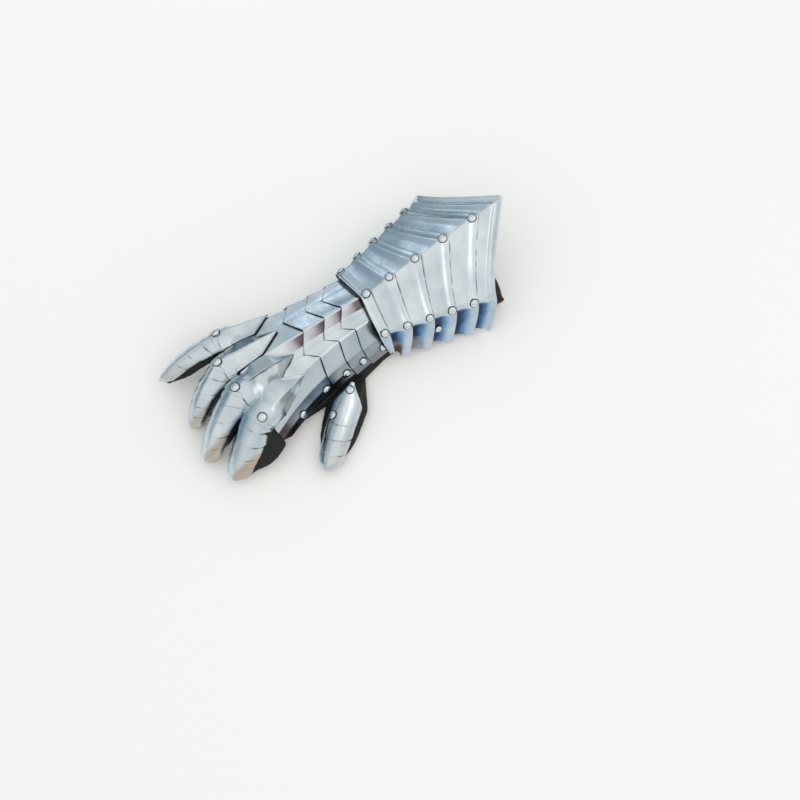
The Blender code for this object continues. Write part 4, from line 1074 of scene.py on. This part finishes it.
def stitchTree(values):
    tree, (points, length, width, seed) = nodeTree("saddle stitches", values)
    loop = add(tree, "GeometryNodeMeshUVSphere", {"Segments": 8, "Rings": 6, "Radius": 0.5})
    size = add(tree, "ShaderNodeCombineXYZ", links={"X": length, "Y": width, "Z": width})
    along = add(tree, "GeometryNodeInputNamedAttribute", {"data_type": "FLOAT_VECTOR", "Name": "along"})
    turn = add(tree, "FunctionNodeAlignRotationToVector", {"axis": "X"}, {"Vector": along.outputs["Attribute"]})
    spread = {"data_type": "FLOAT_VECTOR", 0: (0.0, 0.0, -stitch["tilt"]), 1: (0.0, 0.0, stitch["tilt"])}
    tilt = add(tree, "FunctionNodeRandomValue", spread, {"Seed": seed})
    links = {"Rotation": turn.outputs["Rotation"], "Rotate By": tilt.outputs[0]}
    tilted = add(tree, "FunctionNodeRotateRotation", {"rotation_space": "LOCAL"}, links)
    geometry = scattered(tree, points, loop, tilted.outputs["Rotation"], size.outputs[0], thread)
    add(tree, "NodeGroupOutput", links={"Geometry": geometry})
    return tree


def sewAlong(piece, line):
    # Seats for stitches along a line near a piece's surface, one pitch apart.
    tree = BVHTree.FromObject(piece, bpy.context.evaluated_depsgraph_get())
    spots = []
    for start, end in zip(line, line[1:]):
        count = max(1, round((end - start).length / (0.3 * mm)))
        spots += [start.lerp(end, k / count) for k in range(count)]
    gone = stitch["pitch"]
    for here, there in zip(spots, spots[1:]):
        gone += (there - here).length
        if gone >= stitch["pitch"]:
            gone = 0.0
            place, normal, *_ = tree.find_nearest(here + wristPlace)
            stitchSeats.append((place + normal * stitch["rise"], (there - here).normalized()))


def makeStitches(name):
    values = {"Length": stitch["length"], "Width": stitch["width"], "Seed": stitch["seed"]}
    source = seatPoints(name, stitchSeats, "along")
    finishPiece(grown(source, stitchTree(values), values, name), ())
    print("stitches:", len(stitchSeats))


# Leather glove and strap

glove = {
    "thickness": 1.5 * mm,
    "gap": 0.9 * mm,
    "reach": 17.0 * mm,
    "fold": 7.6 * mm,
    "foldRise": 1.4 * mm,
    "rounding": 4.0 * mm,
    "hemRows": (-0.985, -0.945),
    "tip": 5.0 * mm,
    # Height of the creases, their pitch, and how far up they are deep.
    "bodyCreases": (0.55 * mm, 9 * mm, 15 * mm),
    "stallCreases": (0.35 * mm, 6 * mm, 200 * mm),
    # The oval in the glove's side that the thumb's leather grows out of: its middle and its half length and height.
    "mouth": (-0.36 * hand["length"], -1.36 * cuff["wristHalfWidth"], 6.3 * mm),
    "mouthHalf": (20 * mm, 5.7 * mm),
    "across": (2.0, 1.5, 1.0, 0.6, 0.1, -0.15, -0.4, -0.7, -1.0, -1.5, -2.0),
    # along, width, height, fold on the thumb side, fold on the pinky side, fold height, height of the underside
    "sections": (
        (-1.00, 0.80, 0.62, 1.00, 1.00, 1.0, 1.5),
        (-0.70, 0.84, 0.72, 1.00, 1.00, 1.0, 1.5),
        (-0.25, 0.88, 0.86, 1.00, 1.00, 1.0, 1.5),
        (-0.04, 0.96, 0.93, 1.15, 1.05, 0.9, 0.0),
        (0.14, 0.99, 0.98, 1.23, 1.10, 1.1, 0.0),
        (0.34, 1.00, 1.00, 1.34, 1.07, 1.63, 0.0),
        (0.52, 1.00, 1.00, 1.24, 1.04, 1.63, 0.0),
        (0.72, 1.00, 1.00, 1.05, 1.00, 1.1, 0.0),
        (0.86, 0.99, 0.99, 1.00, 1.00, 1.0, 0.0),
        (1.00, 0.97, 0.80, 0.98, 0.98, 1.0, 0.0),
    ),
}
strap = {
    "width": 22.0 * mm,
    "thickness": 2.0 * mm,
    "gap": 2.6 * mm,
    "along": 0.455,
    "edge": 0.35 * mm,  # how much thinner the band is at its edges
    "bend": 2.5 * mm,
}


def knuckleLine(across):
    return -hand["length"] * (1.012 - 0.085 * (across / hand["halfWidth"] - 0.08) ** 2)


def plateSection(along):
    if along <= hand["tuck"]:
        last = -hand["edges"][-1] * hand["length"]
        section = [handPoint(max(along, last), fold) for fold in hand["folds"]]
    else:
        section = [cuffSection(along, across) for across in glove["across"]]
    return [Vector((along, point.y, point.z)) for point in section]


def inset(ring, distance):
    result = []
    for k, point in enumerate(ring):
        ways = []
        for first, second in ((ring[k - 1], point), (point, ring[(k + 1) % len(ring)])):
            step = second - first
            ways.append(Vector((0, -step.z, step.y)).normalized())
        mean = (ways[0] + ways[1]).normalized()
        result.append(point + mean * (distance / max(0.6, mean.dot(ways[0]))))
    return result


def gloveRing(section):
    share, width, height, foldThumb, foldPinky, foldHeight, under = section
    along = -share * (hand["length"] if share > 0 else cuff["length"] + glove["reach"])
    over = inset(plateSection(along), plate["thickness"] + glove["gap"] + 0.5 * mm)
    over = [Vector((along, p.y * width, p.z * height)) for p in over]
    under *= strap["thickness"]
    palm = []
    for side, reach in ((-1, foldThumb), (1, foldPinky)):
        fold = glove["fold"] * (foldHeight if side < 0 else min(1.0, foldHeight))
        top = under + fold + glove["foldRise"]
        tucked = over[-1 if side < 0 else 0]
        tucked.z = max(tucked.z, top + glove["foldRise"])
        out = tucked.y * reach
        flank = [
            Vector((along, tucked.y, top)),
            Vector((along, mix(tucked.y, out, 0.85), under + fold * 0.88)),
            Vector((along, out, under + fold * 0.4)),
            Vector((along, out - side * glove["rounding"], under)),
        ]
        palm += flank if side < 0 else [Vector((along, 0, under))] + flank[::-1]
    ring = over + palm
    if share == 1.0:
        for point in ring:
            point.x = knuckleLine(point.y)
    return ring


def tubeFaces(rings, around):
    faces = []
    for r in range(rings - 1):
        for k in range(around):
            n = (k + 1) % around
            here = r * around
            faces.append((here + k, here + n, here + around + n, here + around + k))
    return faces


def outwards(obj):
    # Turns the faces outwards, judged by the mesh's volume.
    mesh = obj.data
    if sum(polygon.center.dot(polygon.normal) * polygon.area for polygon in mesh.polygons) < 0:
        mesh.flip_normals()


def smoothed(obj, levels):
    # Subdivides the object's mesh as a smooth surface and turns its faces outwards.
    modifier = obj.modifiers.new("smooth", "SUBSURF")
    modifier.levels = modifier.render_levels = levels
    bpy.context.view_layer.update()
    mesh = bpy.data.meshes.new_from_object(obj.evaluated_get(bpy.context.evaluated_depsgraph_get()))
    obj.modifiers.clear()
    obj.data = mesh
    outwards(obj)


def wrinkle(obj, height, pitch, free):
    # Creases across the leather, deepest below the height where it is free of the plates.
    mesh = obj.data
    normals = [vertex.normal.copy() for vertex in mesh.vertices]
    for vertex, normal in zip(mesh.vertices, normals):
        place = vertex.co
        stretched = Vector((place.x * 1.6, place.y * 0.7, place.z))
        value = noise.noise(stretched / pitch) + 0.5 * noise.noise(stretched / (pitch * 0.45) + Vector((9, 2, 5)))
        loose = soft((free - place.z) / (6 * mm)) * soft(place.z / (1.2 * mm))
        vertex.co = place + normal * (height * value * mix(0.35, 1.0, loose) - 0.2 * height)


def leatherWall(obj):
    wall = obj.modifiers.new("wall", "SOLIDIFY")
    wall.thickness = glove["thickness"]
    wall.offset = -1.0
    wall.material_offset = 1
    wall.material_offset_rim = 0
    wall.use_even_offset = False


def wornEdge(obj, amount):
    values = obj.data.attributes.new("worn", "FLOAT", "POINT")
    values.data.foreach_set("value", [amount(vertex.co - wristPlace) for vertex in obj.data.vertices])


def makeGloveBody():
    rings = [gloveRing(section) for section in glove["sections"]]
    # The front is closed between the fingers, under the knuckles.
    final = rings[-1]
    middle = sum(final, Vector()) / len(final)
    rings.append([Vector((mix(p.x, middle.x, 0.1) - 2 * mm, p.y * 0.97, mix(p.z, middle.z, 0.35))) for p in final])
    rings.append([Vector((p.x + 1 * mm, p.y * 0.9, mix(p.z, middle.z, 0.95))) for p in final])
    around = len(rings[0])
    points = [point + wristPlace for ring in rings for point in ring]
    faces = tubeFaces(len(rings), around)
    obj = meshObject("gloveBody", points, faces, (leather, suede))
    smoothed(obj, 3)
    wrinkle(obj, *glove["bodyCreases"])
    end = cuff["length"] + glove["reach"]
    wornEdge(obj, lambda p: 0.5 * bump(p.x - end, 2.5 * mm) + 0.25 * soft((10 * mm - p.z) / (8 * mm)))
    leatherWall(obj)
    finishPiece(obj, ("glove_body",))
    # Two rows along the hem at the elbow, and a seam along each side fold.
    for row in glove["hemRows"]:
        hem = gloveRing((row, *glove["sections"][0][1:]))
        sewAlong(obj, hem + hem[:1])
    for side in (0, 1):
        fold = [gloveRing(section) for section in glove["sections"][:-1]]
        outer = [max(ring, key=lambda p: p.y * (1 if side else -1)) for ring in fold]
        sewAlong(obj, [point + Vector((0, 0, glove["fold"] * 0.25)) for point in outer])


def stallPoint(spine, distance, turn):
    place, ahead, side, up = spineFrame(spine, distance)
    clear = plate["thickness"] + glove["gap"]
    share = distance / spine["length"]
    drawn = 1.0 if share < 0.7 else mix(1.0, 0.62, (share - 0.7) / 0.3)
    halfWidth = (widthAt(spine, distance) - clear) * drawn
    halfDepth = depthAt(spine, distance) * 0.86 * drawn
    centre = place - up * (clear + halfDepth)
    below = 1.25 if math.cos(turn) < 0 else 1.0
    # Below the plates the leather is fuller than they are, most of all on the thumb side.
    low = soft((-math.cos(turn) + 0.1) / 0.7)
    swell = soft((share - 0.02) / 0.14) * soft((1.5 - share) / 1.1)
    bulge = spine["full"] * low * swell * (1.0 if math.sin(turn) > 0 else spine["pinkyFull"])
    aside = math.sin(turn) * halfWidth * (1 + bulge)
    point = centre + side * aside + up * (math.cos(turn) * halfDepth * below)
    point.z = max(point.z, 0.6 * mm)
    return point


def finishStall(name, rings, spine, end, cadNode):
    # Closes the rings with a round tip and makes the leather wall.
    around = len(rings[0])
    final = rings[-1]
    centre = sum(final, Vector()) / around
    ahead = spineFrame(spine, end)[1]
    for share in (0.35, 0.65, 0.85, 0.97):
        scale = math.sqrt(1 - share * share)
        rings.append([centre + (point - centre) * scale + ahead * (share * glove["tip"]) for point in final])
    points = [point + wristPlace for ring in rings for point in ring]
    faces = tubeFaces(len(rings), around)
    faces.append(tuple((len(rings) - 1) * around + k for k in range(around)))
    obj = meshObject(name, points, faces, (leather, suede))
    smoothed(obj, 1)
    wrinkle(obj, *glove["stallCreases"])
    wornEdge(obj, lambda p: 0.0)
    leatherWall(obj)
    finishPiece(obj, (cadNode,))


stallTurns = [2 * math.pi * (k + 0.5) / 28 for k in range(28)]


def makeStall(name):
    spine = fingerSpine(name)
    end = 0.93 * spine["length"]
    stops = [mix(-7 * mm, end, k / 18) for k in range(19)]
    rings = [[stallPoint(spine, distance, turn) for turn in stallTurns] for distance in stops]
    finishStall(f"glove{name.capitalize()}", rings, spine, end, f"glove_{name}")


def makeThumbStall():
    spine = fingerSpine("thumb")
    along, across, height = glove["mouth"]
    halfLength, halfHeight = glove["mouthHalf"]
    rings = []
    for inward in (9 * mm, 3 * mm, -0.5 * mm):
        mouth = [
            (along + math.sin(turn) * halfLength, across + inward, height + math.cos(turn) * halfHeight)
            for turn in stallTurns
        ]
        rings.append([Vector(point) for point in mouth])
    end = 0.92 * spine["length"]
    for k in range(15):
        distance = mix(0.20 * spine["length"], end, k / 14)
        rings.append([stallPoint(spine, distance, turn) for turn in stallTurns])
    finishStall("gloveThumb", rings, spine, end, "glove_thumb")


def makeStrap():
    rows = []
    half = strap["width"] / 2
    for r in range(9):
        along = strap["along"] * cuff["length"] + mix(-half, half, r / 8)
        line = []
        for side in (1, -1):
            part = []
            for across in (1.45, 1.7, 1.93):
                wall = cuffSection(along, side * across)
                part.append(Vector((along, wall.y - side * (plate["thickness"] + strap["gap"]), wall.z)))
            part.append(Vector((along, part[-1].y - side * 3 * mm, strap["thickness"] * 0.5)))
            line += part if side > 0 else part[::-1]
        rows.append(roundedLine(line, strap["bend"], 6)[0])
    grid = np.array([[tuple(point) for point in row] for row in rows])
    normal = waysOut(grid, (0, 0, -1))
    count, columns = grid.shape[:2]
    crown = np.array([strap["edge"] * (1 - (2 * r / (count - 1) - 1) ** 6) for r in range(count)])[:, None, None]
    outer = grid + normal * (strap["thickness"] / 2 - strap["edge"] + crown)
    inner = grid - normal * (strap["thickness"] / 2)
    points = np.concatenate([outer.reshape(-1, 3), inner.reshape(-1, 3)]) + np.array(wristPlace)
    faces, backs = shellFaces(count, columns, True)
    obj = meshObject("cuffStrap", points, faces, (leather, suede), backs)
    outwards(obj)
    wornEdge(obj, lambda p: 0.0)
    finishPiece(obj, ("cuff_strap",))


for lameNumber in range(1, cuff["lames"] + 1):
    makeCuffLame(lameNumber)
print("cuff made")
for lameNumber in range(1, len(hand["edges"]) + 1):
    makeHandLame(lameNumber)
print("hand lames made")
for fingerName in ("index", "middle", "ring", "pinky"):
    makeKnucklePlate(fingerName)
    makeScales(fingerName, f"scale_{fingerName}")
makeScales("thumb", "thumb_plate")
print("finger plates made")
makeRivets("rivets")
makeGloveBody()
for fingerName in ("index", "middle", "ring", "pinky"):
    makeStall(fingerName)
makeThumbStall()
makeStrap()
makeStitches("stitches")
print("leather made")


# Floor, light and camera

studio = {
    "floor": "#fffdf9",
    "glow": 0.07,  # light that the paper gives back on its own, so that it stays white between the shadows
    "strength": 1.12,
    "paleSide": ((0.0, "#c8d0d4"), (0.35, "#dfe3e5"), (0.8, "#eceded"), (1.0, "#f4f4f3")),
    "darkSide": ((0.0, "#4c6373"), (0.2, "#788f9d"), (0.5, "#9fb2bd"), (0.85, "#d6dce0"), (1.0, "#f4f4f3")),
    "lookAt": (0.0179, -0.0375, 0.0),
    "azimuth": -33.85,
    "elevation": 69.5,
    "distance": 0.7,
    "lens": 31.5,
    "sensor": 36.0,
    "shift": -0.075,
}


def aim(obj, azimuth, elevation, distance, target=(0, 0, 0)):
    a, e = math.radians(azimuth), math.radians(elevation)
    back = Vector((math.sin(a) * math.cos(e), -math.cos(a) * math.cos(e), math.sin(e)))
    obj.location = Vector(target) + back * distance
    obj.rotation_mode = "QUATERNION"
    obj.rotation_quaternion = back.to_track_quat("Z", "Y")


def makeFloor():
    half = 3.0
    points = [(-half, -half, 0), (half, -half, 0), (half, half, 0), (-half, half, 0)]
    white = linear(studio["floor"])
    look = {"Base Color": white, "Roughness": 0.95, "Emission Color": white, "Emission Strength": studio["glow"]}
    paper = principled(newMaterial("matt white studio paper")[0], look, {})
    meshObject("floor", points, [(0, 1, 2, 3)], (paper,))


def makeLight(name, azimuth, elevation, distance, size, power, colour):
    light = bpy.data.lights.new(name, "AREA")
    light.shape = "RECTANGLE"
    light.size, light.size_y = size
    light.energy = power
    light.color = linear(colour)[:3]
    aim(linked(name, light), azimuth, elevation, distance)


def makeWorld():
    # A pale studio, a little darker and bluer low down on the side of the little finger.
    world = bpy.data.worlds.new("studio")
    world.use_nodes = True
    tree = world.node_tree
    tree.nodes.clear()
    way = add(tree, "ShaderNodeTexCoord").outputs["Generated"]
    split = add(tree, "ShaderNodeSeparateXYZ", links={"Vector": way})
    side = add(tree, "ShaderNodeMapRange", {"From Min": 0.05, "From Max": 0.75}, {"Value": split.outputs["Y"]})
    pale = ramp(tree, split.outputs["Z"], studio["paleSide"])
    dark = ramp(tree, split.outputs["Z"], studio["darkSide"])
    sky = tint(tree, side.outputs["Result"], pale, dark)
    background = add(tree, "ShaderNodeBackground", {"Strength": studio["strength"]}, {"Color": sky})
    add(tree, "ShaderNodeOutputWorld", links={"Surface": background.outputs[0]})
    bpy.context.scene.world = world


def makeCamera():
    camera = linked("camera", bpy.data.cameras.new("camera"))
    target = Vector(studio["lookAt"]) + wristPlace
    aim(camera, studio["azimuth"], studio["elevation"], studio["distance"], target)
    camera.data.lens = studio["lens"]
    camera.data.sensor_width = studio["sensor"]
    camera.data.shift_y = studio["shift"]
    camera.data.clip_start = 0.01
    bpy.context.scene.camera = camera


makeFloor()
makeLight("key softbox", 50, 50, 1.3, (0.7, 0.3), 0.6, "#ffffff")
makeLight("edge strip", 165, 30, 1.1, (0.6, 0.08), 0.3, "#eef6ff")
makeWorld()
makeCamera()
bpy.context.scene.view_settings.view_transform = "Standard"
